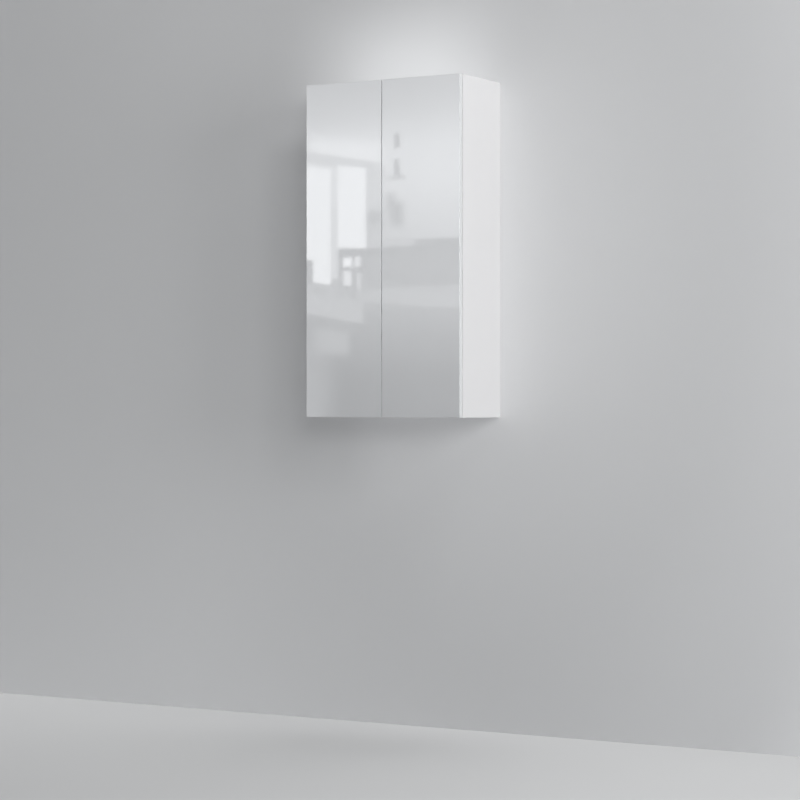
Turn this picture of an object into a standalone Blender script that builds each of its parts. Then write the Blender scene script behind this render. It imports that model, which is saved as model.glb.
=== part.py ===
"""Wall-hung cabinet with two handle-less doors on concealed hinges.

Metres, +Z up. The origin is at the middle of the underside, the doors face -Y and the wall is at +Y.
Pieces that rest on each other keep a small seat gap between their faces.
"""

import math

import bmesh
import bpy
from mathutils import Matrix, Vector

# Overall size
WIDTH = 0.510
HEIGHT = 0.965
DEPTH = 0.240

# Small clearances that every piece shares
SEAT_GAP = 0.0003
HOLE_CLEARANCE = 0.0005
OVERRUN = 0.002
WELD_DISTANCE = 0.00002

# Boards of the carcass
SIDE_THICKNESS = 0.016
TOP_THICKNESS = 0.016
BOTTOM_THICKNESS = 0.016
BACK_THICKNESS = 0.003
BACK_RECESS = 0.018
GROOVE_DEPTH = 0.008

# Shelves, which lie loose on pins
SHELF_THICKNESS = 0.016
SHELF_END_CLEARANCE = 0.0015
SHELF_BACK_CLEARANCE = 0.002
SHELF_SETBACK = 0.020
SHELF_NAMES = ("lower", "middle", "upper")

# Shelf pins and the rows of holes around each shelf
PIN_RADIUS = 0.0023
PIN_SHANK = 0.0100
PIN_PEG = 0.0090
PIN_COLLAR_RADIUS = 0.0035
PIN_COLLAR = 0.0008
PIN_HOLE_DEPTH = 0.0120
PIN_FRONT_INSET = 0.037
PIN_REAR_INSET = 0.032
HOLE_PITCH = 0.032
SPARE_HOLES = 1

# Wood dowels at the corner joints
DOWEL_RADIUS = 0.0038
DOWEL_LENGTH = 0.030
DOWEL_IN_SIDE = 0.0105
DOWEL_FRONT_INSET = 0.045
DOWEL_REAR_INSET = 0.040

# Doors
DOOR_THICKNESS = 0.016
DOOR_GAP = 0.0015
CENTRE_GAP = 0.002
DOOR_SIDE_REVEAL = 0.0005
DOOR_END_REVEAL = 0.001
DOOR_EDGE_RADIUS = 0.0008

# Hinge cup, let into the door
HINGE_END_DISTANCE = 0.100
CUP_RADIUS = 0.0175
CUP_DEPTH = 0.0125
CUP_WALL = 0.001
CUP_EDGE_DISTANCE = 0.003
CUP_PIVOT_INSET = 0.0075
CUP_PIVOT_DEPTH = 0.0049
CUP_PIN_RADIUS = 0.0010
FLANGE_THICKNESS = 0.0008
FLANGE_HALF_HEIGHT = 0.028
FLANGE_WIDTH = 0.0178
FLANGE_PAST_CENTRE = 0.0008
FLANGE_CORNER = 0.004
CUP_SCREW_OFFSET = 0.0095
CUP_SCREW_HALF_PITCH = 0.0225
CUP_SCREW_RADIUS = 0.0016
CUP_SCREW_HEAD_RADIUS = 0.0032
CUP_SCREW_HEAD = 0.001
CUP_SCREW_LENGTH = 0.010

# Hinge link, bent round the edge of the cup
LINK_THICKNESS = 0.003
LINK_WIDTH = 0.009
LINK_CUP_BOSS_RADIUS = 0.0024
LINK_ARM_BOSS_RADIUS = 0.0032
NEAR_KNEE_ACROSS = 0.0043
NEAR_KNEE_DEPTH = 0.0042
FAR_KNEE_ACROSS = 0.0159
FAR_KNEE_DEPTH = 0.0031

# Hinge arm, which holds the link's other pivot
ARM_PIVOT_INSET = 0.0147
ARM_PIVOT_SETBACK = 0.0177
ARM_PIN_RADIUS = 0.0015
ARM_CHEEK = 0.0015
ARM_SIDE_CLEARANCE = 0.0005
ARM_NOSE = 0.0043
ARM_LENGTH = 0.060
ARM_SCREW_SETBACK = 0.055
ARM_SCREW_RADIUS = 0.0016
ARM_SCREW_HEAD_RADIUS = 0.003
ARM_SCREW_HEAD = 0.0012

# Hinge mounting plate on the side panel
PLATE_THICKNESS = 0.0017
PLATE_SETBACK = 0.022
PLATE_LENGTH = 0.050
PLATE_HALF_HEIGHT = 0.008
PLATE_WING_WIDTH = 0.013
PLATE_WING_HALF_HEIGHT = 0.024
PLATE_CORNER = 0.003
PLATE_RIB_HEIGHT = 0.003
PLATE_RIB_INSET = 0.003
PLATE_SCREW_SETBACK = 0.037
PLATE_SCREW_HALF_PITCH = 0.016
PLATE_SCREW_RADIUS = 0.0023
PLATE_SCREW_HEAD_RADIUS = 0.004
PLATE_SCREW_HEAD = 0.0012
PLATE_SCREW_LENGTH = 0.011

# Push latch, let into the front edge of the bottom panel
LATCH_OFFSET = 0.035
LATCH_RADIUS = 0.005
LATCH_LENGTH = 0.050
LATCH_BORE_RADIUS = 0.0036
LATCH_BORE_DEPTH = 0.042
PLUNGER_RADIUS = 0.003
PLUNGER_LENGTH = 0.038
PLUNGER_CHAMFER = 0.0006
STRIKE_RADIUS = 0.006
STRIKE_THICKNESS = 0.0005
BUMPER_OFFSET = 0.012
BUMPER_RADIUS = 0.004
BUMPER_THICKNESS = 0.0008

# Wall hanger in each upper rear corner
HANGER_WIDTH = 0.020
HANGER_HEIGHT = 0.062
HANGER_DEPTH = 0.036
HANGER_CORNER = 0.003
HANGER_BOSS_RADIUS = 0.005
HANGER_BOSS_LENGTH = 0.010
HANGER_BOSS_SETBACK = 0.020
HANGER_BOSS_DROP = 0.016
HANGER_BOSS_PITCH = 0.032
HANGER_SCREW_RADIUS = 0.004
HANGER_SCREW_HEAD = 0.0015
HANGER_SCREW_DROP = 0.034
HANGER_SCREW_PITCH = 0.016
HOOK_WIDTH = 0.012
HOOK_THICKNESS = 0.003
HOOK_DROP = 0.014
HOOK_INSIDE = 0.026
HOOK_WALL_CLEARANCE = 0.004
HOOK_LIP = 0.015
HOOK_SEAT_LENGTH = 0.008
HOOK_SEAT_DEPTH = 0.0008
HOOK_ADJUSTMENT = 0.004

# How finely round forms are faceted
HOLE_SIDES = 10
SMALL_SIDES = 12
CUP_SIDES = 28
CORNER_STEPS = 3

# Planes that the pieces share
DOOR_FRONT_Y = -DEPTH / 2
DOOR_BACK_Y = DOOR_FRONT_Y + DOOR_THICKNESS
CARCASS_FRONT_Y = DOOR_BACK_Y + DOOR_GAP
WALL_Y = DEPTH / 2
BACK_REAR_Y = WALL_Y - BACK_RECESS
BACK_FRONT_Y = BACK_REAR_Y - BACK_THICKNESS
OUTER_X = WIDTH / 2
INNER_X = OUTER_X - SIDE_THICKNESS
INNER_TOP_Z = HEIGHT - TOP_THICKNESS
DOOR_EDGE_X = OUTER_X - DOOR_SIDE_REVEAL
DOOR_PAD_Y = DOOR_BACK_Y + SEAT_GAP

# Pivots of the hinges, as distances from the middle plane
CUP_PIVOT_X = DOOR_EDGE_X - CUP_PIVOT_INSET
CUP_PIVOT_Y = DOOR_BACK_Y - CUP_PIVOT_DEPTH
CUP_CENTRE_X = DOOR_EDGE_X - CUP_EDGE_DISTANCE - CUP_RADIUS
ARM_PIVOT_X = INNER_X - ARM_PIVOT_INSET
ARM_PIVOT_Y = CARCASS_FRONT_Y + ARM_PIVOT_SETBACK
HINGE_ROWS = {
    "lower": DOOR_END_REVEAL + HINGE_END_DISTANCE,
    "upper": HEIGHT - DOOR_END_REVEAL - HINGE_END_DISTANCE,
}
HANDS = {"left": -1, "right": 1}

# Shelves divide the inside into equal heights
SHELF_COUNT = len(SHELF_NAMES)
FREE_HEIGHT = INNER_TOP_Z - BOTTOM_THICKNESS - SHELF_COUNT * SHELF_THICKNESS
BAY_HEIGHT = FREE_HEIGHT / (SHELF_COUNT + 1)
PIN_ROWS = (CARCASS_FRONT_Y + PIN_FRONT_INSET, BACK_FRONT_Y - PIN_REAR_INSET)
DOWEL_ROWS = (CARCASS_FRONT_Y + DOWEL_FRONT_INSET, BACK_FRONT_Y - DOWEL_REAR_INSET)
PANEL_MIDDLES = {"bottom": BOTTOM_THICKNESS / 2, "top": HEIGHT - TOP_THICKNESS / 2}
ROW_NAMES = ("front", "rear")

# Wall hangers hang from the top panel's underside
HANGER_TOP_Z = INNER_TOP_Z - SEAT_GAP
HANGER_REAR_Y = BACK_FRONT_Y - SEAT_GAP
HANGER_X = INNER_X - SEAT_GAP - HANGER_WIDTH / 2
HOOK_TOP_Z = HANGER_TOP_Z - HOOK_DROP


def clear_scene():
    """Remove what the startup scene holds."""
    for obj in list(bpy.data.objects):
        bpy.data.objects.remove(obj, do_unlink=True)


def make_material(name, colour, roughness, metallic=0.0):
    """A plain Principled material."""
    material = bpy.data.materials.new(name)
    material.use_nodes = True
    shader = material.node_tree.nodes["Principled BSDF"]
    shader.inputs["Base Color"].default_value = (*colour, 1.0)
    shader.inputs["Roughness"].default_value = roughness
    shader.inputs["Metallic"].default_value = metallic
    return material


def make_materials():
    """One material for each kind of piece."""
    return {
        "door": make_material("white_lacquer", (0.86, 0.87, 0.89), 0.08),
        "board": make_material("white_melamine", (0.84, 0.84, 0.84), 0.35),
        "shelf": make_material("shelf_melamine", (0.83, 0.83, 0.83), 0.38),
        "back": make_material("hardboard", (0.80, 0.80, 0.79), 0.5),
        "dowel": make_material("beech", (0.62, 0.43, 0.25), 0.6),
        "pin": make_material("nickel_plate", (0.72, 0.71, 0.69), 0.25, 1.0),
        "hinge": make_material("hinge_steel", (0.66, 0.66, 0.65), 0.28, 1.0),
        "hook": make_material("zinc_plate", (0.60, 0.61, 0.62), 0.35, 1.0),
        "hanger": make_material("white_plastic", (0.82, 0.82, 0.80), 0.4),
        "latch": make_material("grey_plastic", (0.45, 0.46, 0.47), 0.45),
        "plunger": make_material("pale_plastic", (0.70, 0.71, 0.72), 0.4),
        "bumper": make_material("clear_rubber", (0.75, 0.76, 0.76), 0.3),
    }


def add_box(shape, low, high):
    """A cuboid between two corners."""
    middle = (Vector(low) + Vector(high)) / 2
    size = Vector(abs(b - a) for a, b in zip(low, high))
    bmesh.ops.create_cube(shape, size=1, matrix=Matrix.LocRotScale(middle, None, size))


def add_cylinder(shape, start, end, radius, sides, end_radius=None):
    """A cylinder, or a cone frustum, between the middles of its two ends."""
    run = Vector(end) - Vector(start)
    turn = Vector((0, 0, 1)).rotation_difference(run).to_matrix().to_4x4()
    bmesh.ops.create_cone(
        shape,
        cap_ends=True,
        segments=sides,
        radius1=radius,
        radius2=radius if end_radius is None else end_radius,
        depth=run.length,
        matrix=Matrix.Translation((Vector(start) + Vector(end)) / 2) @ turn,
    )


def add_prism(shape, outline, travel):
    """A closed outline of points, extruded along travel."""
    face = shape.faces.new([shape.verts.new(point) for point in outline])
    swept = bmesh.ops.extrude_face_region(shape, geom=[face], use_keep_orig=True)
    moved = [item for item in swept["geom"] if isinstance(item, bmesh.types.BMVert)]
    bmesh.ops.translate(shape, vec=Vector(travel), verts=moved)


def rounded_rectangle(low, high, radius):
    """Corner-rounded rectangle in two coordinates, counter-clockwise."""
    points = []
    corners = ((high[0], high[1]), (low[0], high[1]), (low[0], low[1]), (high[0], low[1]))
    for quarter, (across, up) in enumerate(corners):
        inward = (math.copysign(radius, low[0] + high[0] - 2 * across),
                  math.copysign(radius, low[1] + high[1] - 2 * up))
        for step in range(CORNER_STEPS + 1):
            angle = math.pi / 2 * (quarter + step / CORNER_STEPS)
            points.append((across + inward[0] + radius * math.cos(angle),
                           up + inward[1] + radius * math.sin(angle)))
    return points


def new_shape(*builders):
    """A mesh in the making, filled by calls such as (add_box, low, high)."""
    shape = bmesh.new()
    for builder, *values in builders:
        builder(shape, *values)
    return shape


def make_mesh(name, shape, origin):
    """Close a shape's surface outwards and move its origin."""
    bmesh.ops.recalc_face_normals(shape, faces=shape.faces)
    bmesh.ops.translate(shape, vec=-Vector(origin), verts=shape.verts)
    mesh = bpy.data.meshes.new(name)
    shape.to_mesh(mesh)
    shape.free()
    return mesh


def make_piece(name, shape, material, origin=(0, 0, 0), smooth=False):
    """An object that becomes a piece of the cabinet."""
    mesh = make_mesh(name, shape, origin)
    mesh.materials.append(material)
    if smooth:
        mesh.shade_smooth()
        mesh.set_sharp_from_angle(angle=math.radians(40))
    obj = bpy.data.objects.new(name, mesh)
    obj.location = origin
    bpy.context.scene.collection.objects.link(obj)
    return obj


def combine(piece, operation, shape):
    """Add a shape to a piece, or cut it out, through a hidden helper."""
    name = f"{piece.name}_{operation.lower()}_{len(piece.modifiers)}"
    helper = bpy.data.objects.new(name, make_mesh(name, shape, (0, 0, 0)))
    helper.hide_render = True
    helper.display_type = "WIRE"
    bpy.context.scene.collection.objects.link(helper)
    modifier = piece.modifiers.new(name, "BOOLEAN")
    modifier.operation = operation
    modifier.solver = "EXACT"
    modifier.object = helper


def round_edges(piece, radius):
    """Soften the edges of a board with a small bevel."""
    bevel = piece.modifiers.new("edge_radius", "BEVEL")
    bevel.width = radius
    bevel.segments = 2
    bevel.limit_method = "ANGLE"


def attach(piece, parent):
    """Let a piece follow its parent without moving it now."""
    piece.parent = parent
    piece.matrix_parent_inverse = Matrix.Translation(-parent.location)


def make_axis(name, place):
    """An empty on a joint's axis."""
    axis = bpy.data.objects.new(name, None)
    axis.location = place
    bpy.context.scene.collection.objects.link(axis)
    return axis


def shelf_bottom(index):
    """Height of a shelf's underside."""
    return BOTTOM_THICKNESS + (index + 1) * BAY_HEIGHT + index * SHELF_THICKNESS


def pin_height(index):
    """Height of the pins that carry a shelf."""
    return shelf_bottom(index) - SEAT_GAP - PIN_RADIUS


def side_hole(hand, y, z, radius, depth, sides=HOLE_SIDES):
    """A hole drilled into a side panel from its inner face."""
    mouth = (hand * (INNER_X - OVERRUN), y, z)
    floor = (hand * (INNER_X + depth), y, z)
    return (add_cylinder, mouth, floor, radius + HOLE_CLEARANCE, sides)


def side_holes(hand):
    """All holes of one side panel."""
    holes = []
    for index in range(SHELF_COUNT):
        for step in range(-SPARE_HOLES, SPARE_HOLES + 1):
            for y in PIN_ROWS:
                z = pin_height(index) + step * HOLE_PITCH
                holes.append(side_hole(hand, y, z, PIN_RADIUS, PIN_HOLE_DEPTH))
    for z in PANEL_MIDDLES.values():
        for y in DOWEL_ROWS:
            holes.append(side_hole(hand, y, z, DOWEL_RADIUS, DOWEL_IN_SIDE + HOLE_CLEARANCE))
    for row in HINGE_ROWS.values():
        for step in (-1, 1):
            z = row + step * PLATE_SCREW_HALF_PITCH
            y = CARCASS_FRONT_Y + PLATE_SCREW_SETBACK
            holes.append(side_hole(hand, y, z, PLATE_SCREW_RADIUS, PLATE_SCREW_LENGTH))
    for step in (0, 1):
        z = HANGER_TOP_Z - HANGER_BOSS_DROP - step * HANGER_BOSS_PITCH
        y = HANGER_REAR_Y - HANGER_BOSS_SETBACK
        depth = HANGER_BOSS_LENGTH + HOLE_CLEARANCE
        holes.append(side_hole(hand, y, z, HANGER_BOSS_RADIUS, depth, SMALL_SIDES))
    return holes


def make_side_panel(name, hand, material):
    """A side panel with the back panel's groove and its rows of holes."""
    groove_front = BACK_FRONT_Y - SEAT_GAP
    groove_rear = BACK_REAR_Y + SEAT_GAP
    groove_floor = INNER_X + GROOVE_DEPTH
    plan = (
        (INNER_X, CARCASS_FRONT_Y),
        (OUTER_X, CARCASS_FRONT_Y),
        (OUTER_X, WALL_Y),
        (INNER_X, WALL_Y),
        (INNER_X, groove_rear),
        (groove_floor, groove_rear),
        (groove_floor, groove_front),
        (INNER_X, groove_front),
    )
    outline = [(hand * x, y, 0) for x, y in plan]
    panel = make_piece(name, new_shape((add_prism, outline, (0, 0, HEIGHT))), material)
    combine(panel, "DIFFERENCE", new_shape(*side_holes(hand)))
    return panel


def end_holes(z):
    """Dowel holes in both ends of the top or bottom panel."""
    mouth = INNER_X + OVERRUN
    floor = INNER_X + DOWEL_IN_SIDE - DOWEL_LENGTH - HOLE_CLEARANCE
    radius = DOWEL_RADIUS + HOLE_CLEARANCE
    return [
        (add_cylinder, (hand * mouth, y, z), (hand * floor, y, z), radius, HOLE_SIDES)
        for hand in HANDS.values()
        for y in DOWEL_ROWS
    ]


def make_cross_panel(name, inner_z, outer_z, material):
    """The top or bottom panel, with the back panel's groove in its inner face."""
    groove_front = BACK_FRONT_Y - SEAT_GAP
    groove_rear = BACK_REAR_Y + SEAT_GAP
    groove_floor = inner_z + math.copysign(GROOVE_DEPTH, outer_z - inner_z)
    end = INNER_X - SEAT_GAP
    section = (
        (CARCASS_FRONT_Y, outer_z),
        (CARCASS_FRONT_Y, inner_z),
        (groove_front, inner_z),
        (groove_front, groove_floor),
        (groove_rear, groove_floor),
        (groove_rear, inner_z),
        (WALL_Y, inner_z),
        (WALL_Y, outer_z),
    )
    outline = [(-end, y, z) for y, z in section]
    panel = make_piece(name, new_shape((add_prism, outline, (2 * end, 0, 0))), material)
    combine(panel, "DIFFERENCE", new_shape(*end_holes((inner_z + outer_z) / 2)))
    return panel


def hook_window(hand):
    """The window in the back panel that a wall hook passes through."""
    half = HOOK_WIDTH / 2 + HOOK_ADJUSTMENT
    low = (hand * HANGER_X - half, BACK_FRONT_Y - OVERRUN, HOOK_TOP_Z - HOOK_THICKNESS - HOOK_ADJUSTMENT)
    high = (hand * HANGER_X + half, BACK_REAR_Y + OVERRUN, HOOK_TOP_Z + HOOK_ADJUSTMENT)
    return (add_box, low, high)


def make_back_panel(material):
    """The thin back panel, held in grooves on all four sides."""
    reach = GROOVE_DEPTH - SEAT_GAP
    low = (-INNER_X - reach, BACK_FRONT_Y, BOTTOM_THICKNESS - reach)
    high = (INNER_X + reach, BACK_REAR_Y, INNER_TOP_Z + reach)
    panel = make_piece("back_panel", new_shape((add_box, low, high)), material)
    combine(panel, "DIFFERENCE", new_shape(*(hook_window(hand) for hand in HANDS.values())))


def make_shelf(index, materials):
    """A loose shelf and the four pins that carry it."""
    end = INNER_X - SHELF_END_CLEARANCE
    bottom = shelf_bottom(index)
    low = (-end, CARCASS_FRONT_Y + SHELF_SETBACK, bottom)
    high = (end, BACK_FRONT_Y - SHELF_BACK_CLEARANCE, bottom + SHELF_THICKNESS)
    level = SHELF_NAMES[index]
    make_piece(f"shelf_{level}", new_shape((add_box, low, high)), materials["shelf"])
    for side, hand in HANDS.items():
        for row, y in zip(ROW_NAMES, PIN_ROWS):
            name = f"shelf_pin_{level}_{side}_{row}"
            make_shelf_pin(name, hand, y, pin_height(index), materials["pin"])


def make_shelf_pin(name, hand, y, z, material):
    """A turned pin: a shank in the side panel, a thin collar and a peg under the shelf."""
    collar_start = INNER_X - SEAT_GAP
    collar_end = collar_start - PIN_COLLAR
    stations = (
        (collar_start + PIN_SHANK, PIN_RADIUS),
        (collar_start, PIN_RADIUS),
        (collar_start, PIN_COLLAR_RADIUS),
        (collar_end, PIN_COLLAR_RADIUS),
        (collar_end, PIN_RADIUS),
        (collar_start - PIN_PEG, PIN_RADIUS),
    )
    shape = bmesh.new()
    start = [shape.verts.new((hand * stations[0][0], y, z))]
    rim = [shape.verts.new((hand * x, y, z + radius)) for x, radius in stations]
    end = [shape.verts.new((hand * stations[-1][0], y, z))]
    line = start + rim + end
    edges = [shape.edges.new(pair) for pair in zip(line, line[1:])]
    bmesh.ops.spin(
        shape,
        geom=line + edges,
        cent=(0, y, z),
        axis=(1, 0, 0),
        angle=2 * math.pi,
        steps=HOLE_SIDES,
        use_merge=True,
    )
    bmesh.ops.remove_doubles(shape, verts=shape.verts, dist=WELD_DISTANCE)
    make_piece(name, shape, material, (hand * collar_start, y, z), smooth=True)


def make_dowels(material):
    """Two dowels at each corner joint."""
    for level, z in PANEL_MIDDLES.items():
        for side, hand in HANDS.items():
            for row, y in zip(ROW_NAMES, DOWEL_ROWS):
                outer = (hand * (INNER_X + DOWEL_IN_SIDE), y, z)
                inner = (hand * (INNER_X + DOWEL_IN_SIDE - DOWEL_LENGTH), y, z)
                shape = new_shape((add_cylinder, outer, inner, DOWEL_RADIUS, HOLE_SIDES))
                make_piece(f"dowel_{level}_{side}_{row}", shape, material, outer, smooth=True)


def cup_screws(hand, z):
    """Places of a cup's two screws."""
    x = hand * (CUP_CENTRE_X - CUP_SCREW_OFFSET)
    return [(x, z - CUP_SCREW_HALF_PITCH), (x, z + CUP_SCREW_HALF_PITCH)]


def door_holes(hand):
    """Cup bores and screw holes in a door's back."""
    mouth = DOOR_BACK_Y + OVERRUN
    floor = DOOR_BACK_Y - CUP_DEPTH - SEAT_GAP
    screw_floor = DOOR_BACK_Y - CUP_SCREW_LENGTH - HOLE_CLEARANCE
    holes = []
    for z in HINGE_ROWS.values():
        x = hand * CUP_CENTRE_X
        holes.append((add_cylinder, (x, mouth, z), (x, floor, z), CUP_RADIUS + HOLE_CLEARANCE, CUP_SIDES))
        for screw_x, screw_z in cup_screws(hand, z):
            start = (screw_x, mouth, screw_z)
            end = (screw_x, screw_floor, screw_z)
            holes.append((add_cylinder, start, end, CUP_SCREW_RADIUS + HOLE_CLEARANCE, HOLE_SIDES))
    return holes


def make_door(side, hand, axis, materials):
    """A door with its strike plate and two bumpers, on its axis."""
    low = (hand * CENTRE_GAP / 2, DOOR_FRONT_Y, DOOR_END_REVEAL)
    high = (hand * DOOR_EDGE_X, DOOR_BACK_Y, HEIGHT - DOOR_END_REVEAL)
    door = make_piece(f"door_{side}", new_shape((add_box, low, high)), materials["door"])
    round_edges(door, DOOR_EDGE_RADIUS)
    combine(door, "DIFFERENCE", new_shape(*door_holes(hand)))
    attach(door, axis)
    place = (hand * LATCH_OFFSET, DOOR_PAD_Y, BOTTOM_THICKNESS / 2)
    strike = make_disc(f"strike_plate_{side}", place, STRIKE_RADIUS, STRIKE_THICKNESS, materials["pin"])
    attach(strike, axis)
    for level, z in PANEL_MIDDLES.items():
        place = (hand * BUMPER_OFFSET, DOOR_PAD_Y, z)
        name = f"bumper_{side}_{level}"
        bumper = make_disc(name, place, BUMPER_RADIUS, BUMPER_THICKNESS, materials["bumper"])
        attach(bumper, axis)


def make_disc(name, place, radius, thickness, material):
    """A thin round pad on a door's back."""
    end = (place[0], place[1] + thickness, place[2])
    disc = new_shape((add_cylinder, place, end, radius, SMALL_SIDES))
    return make_piece(name, disc, material, place, smooth=True)


def make_cup(name, hand, z, material):
    """A hinge cup with its screwed flange and the link's pivot pin."""
    floor = DOOR_BACK_Y - CUP_DEPTH
    flange_top = DOOR_PAD_Y + FLANGE_THICKNESS
    rim = DOOR_PAD_Y + FLANGE_THICKNESS / 2
    x = hand * CUP_CENTRE_X
    body = new_shape((add_cylinder, (x, floor, z), (x, rim, z), CUP_RADIUS, CUP_SIDES))
    cup = make_piece(name, body, material, smooth=True)
    outer = CUP_CENTRE_X + FLANGE_PAST_CENTRE
    low = (outer - FLANGE_WIDTH, -FLANGE_HALF_HEIGHT)
    high = (outer, FLANGE_HALF_HEIGHT)
    plan = rounded_rectangle(low, high, FLANGE_CORNER)
    outline = [(hand * across, DOOR_PAD_Y, z + up) for across, up in plan]
    combine(cup, "UNION", new_shape((add_prism, outline, (0, FLANGE_THICKNESS, 0))))
    for screw_x, screw_z in cup_screws(hand, z):
        head = (screw_x, flange_top + CUP_SCREW_HEAD, screw_z)
        neck = (screw_x, flange_top + CUP_SCREW_HEAD / 2, screw_z)
        seat = (screw_x, rim, screw_z)
        tip = (screw_x, DOOR_BACK_Y - CUP_SCREW_LENGTH, screw_z)
        combine(cup, "UNION", new_shape((add_cylinder, seat, head, CUP_SCREW_HEAD_RADIUS, SMALL_SIDES)))
        combine(cup, "UNION", new_shape((add_cylinder, tip, neck, CUP_SCREW_RADIUS, HOLE_SIDES)))
    hollow_floor = (x, floor + CUP_WALL, z)
    hollow_end = (x, flange_top + OVERRUN, z)
    hollow = (add_cylinder, hollow_floor, hollow_end, CUP_RADIUS - CUP_WALL, CUP_SIDES)
    combine(cup, "DIFFERENCE", new_shape(hollow))
    offset = CUP_PIVOT_X - CUP_CENTRE_X
    reach = math.sqrt((CUP_RADIUS - CUP_WALL / 2) ** 2 - offset ** 2)
    pin_low = (hand * CUP_PIVOT_X, CUP_PIVOT_Y, z - reach)
    pin_high = (hand * CUP_PIVOT_X, CUP_PIVOT_Y, z + reach)
    combine(cup, "UNION", new_shape((add_cylinder, pin_low, pin_high, CUP_PIN_RADIUS, HOLE_SIDES)))
    return cup


def link_outline(path):
    """The link's outline in plan: a bent strip along the path."""
    half = LINK_THICKNESS / 2
    sides = {1: [], -1: []}
    for sign, side in sides.items():
        for before, point, after in zip(path, path[1:], path[2:]):
            first = math.atan2(point[1] - before[1], point[0] - before[0])
            second = math.atan2(after[1] - point[1], after[0] - point[0])
            turn = math.remainder(second - first, 2 * math.pi)
            normal = first + turn / 2 + sign * math.pi / 2
            reach = half / math.cos(turn / 2)
            side.append((point[0] + reach * math.cos(normal), point[1] + reach * math.sin(normal)))
        for end, towards in ((0, 1), (-1, -2)):
            run = math.atan2(path[towards][1] - path[end][1], path[towards][0] - path[end][0])
            normal = run + (sign if end == 0 else -sign) * math.pi / 2
            corner = (path[end][0] + half * math.cos(normal), path[end][1] + half * math.sin(normal))
            side.insert(0 if end == 0 else len(side), corner)
    return sides[1] + sides[-1][::-1]


def make_link(name, hand, z, material):
    """The bent link between the arm's pivot and the cup's pivot."""
    arm = (ARM_PIVOT_X, ARM_PIVOT_Y)
    cup = (CUP_PIVOT_X, CUP_PIVOT_Y)
    far_knee = (CUP_PIVOT_X - FAR_KNEE_ACROSS, CUP_PIVOT_Y - FAR_KNEE_DEPTH)
    near_knee = (CUP_PIVOT_X - NEAR_KNEE_ACROSS, CUP_PIVOT_Y - NEAR_KNEE_DEPTH)
    outline = [(hand * x, y, z - LINK_WIDTH / 2) for x, y in link_outline((arm, far_knee, near_knee, cup))]
    link = make_piece(name, new_shape((add_prism, outline, (0, 0, LINK_WIDTH))), material,
                      (hand * ARM_PIVOT_X, ARM_PIVOT_Y, z), smooth=True)
    pivots = (
        (arm, LINK_ARM_BOSS_RADIUS, ARM_PIN_RADIUS + HOLE_CLEARANCE),
        (cup, LINK_CUP_BOSS_RADIUS, CUP_PIN_RADIUS + HOLE_CLEARANCE),
    )
    for (x, y), boss_radius, bore_radius in pivots:
        low = (hand * x, y, z - LINK_WIDTH / 2)
        high = (hand * x, y, z + LINK_WIDTH / 2)
        combine(link, "UNION", new_shape((add_cylinder, low, high, boss_radius, SMALL_SIDES)))
        below = (hand * x, y, low[2] - OVERRUN)
        above = (hand * x, y, high[2] + OVERRUN)
        combine(link, "DIFFERENCE", new_shape((add_cylinder, below, above, bore_radius, SMALL_SIDES)))
    return link


def make_arm(name, hand, z, material):
    """The channel-shaped arm that holds the link's pivot pin."""
    inside = LINK_WIDTH / 2 + ARM_SIDE_CLEARANCE
    outside = inside + ARM_CHEEK
    foot = INNER_X - SEAT_GAP - PLATE_THICKNESS - SEAT_GAP
    crown = ARM_PIVOT_X - ARM_NOSE
    front = ARM_PIVOT_Y - ARM_NOSE
    rear = ARM_PIVOT_Y + ARM_LENGTH
    body = new_shape((add_box, (hand * foot, front, z - outside), (hand * crown, rear, z + outside)))
    arm = make_piece(name, body, material)
    channel_low = (hand * (foot + OVERRUN), front - OVERRUN, z - inside)
    channel_high = (hand * (crown + ARM_CHEEK), rear + OVERRUN, z + inside)
    combine(arm, "DIFFERENCE", new_shape((add_box, channel_low, channel_high)))
    mouth_low = (hand * (foot + OVERRUN), front - OVERRUN, z - inside)
    mouth_high = (hand * (crown - OVERRUN), ARM_PIVOT_Y + ARM_NOSE, z + inside)
    combine(arm, "DIFFERENCE", new_shape((add_box, mouth_low, mouth_high)))
    pin_half = inside + ARM_CHEEK / 2
    pin_low = (hand * ARM_PIVOT_X, ARM_PIVOT_Y, z - pin_half)
    pin_high = (hand * ARM_PIVOT_X, ARM_PIVOT_Y, z + pin_half)
    combine(arm, "UNION", new_shape((add_cylinder, pin_low, pin_high, ARM_PIN_RADIUS, HOLE_SIDES)))
    screw_y = CARCASS_FRONT_Y + ARM_SCREW_SETBACK
    head = (hand * (crown - ARM_SCREW_HEAD), screw_y, z)
    seat = (hand * (crown + ARM_CHEEK / 2), screw_y, z)
    tip = (hand * (foot - PLATE_RIB_HEIGHT), screw_y, z)
    combine(arm, "UNION", new_shape((add_cylinder, seat, head, ARM_SCREW_HEAD_RADIUS, SMALL_SIDES)))
    combine(arm, "UNION", new_shape((add_cylinder, tip, seat, ARM_SCREW_RADIUS, HOLE_SIDES)))


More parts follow.
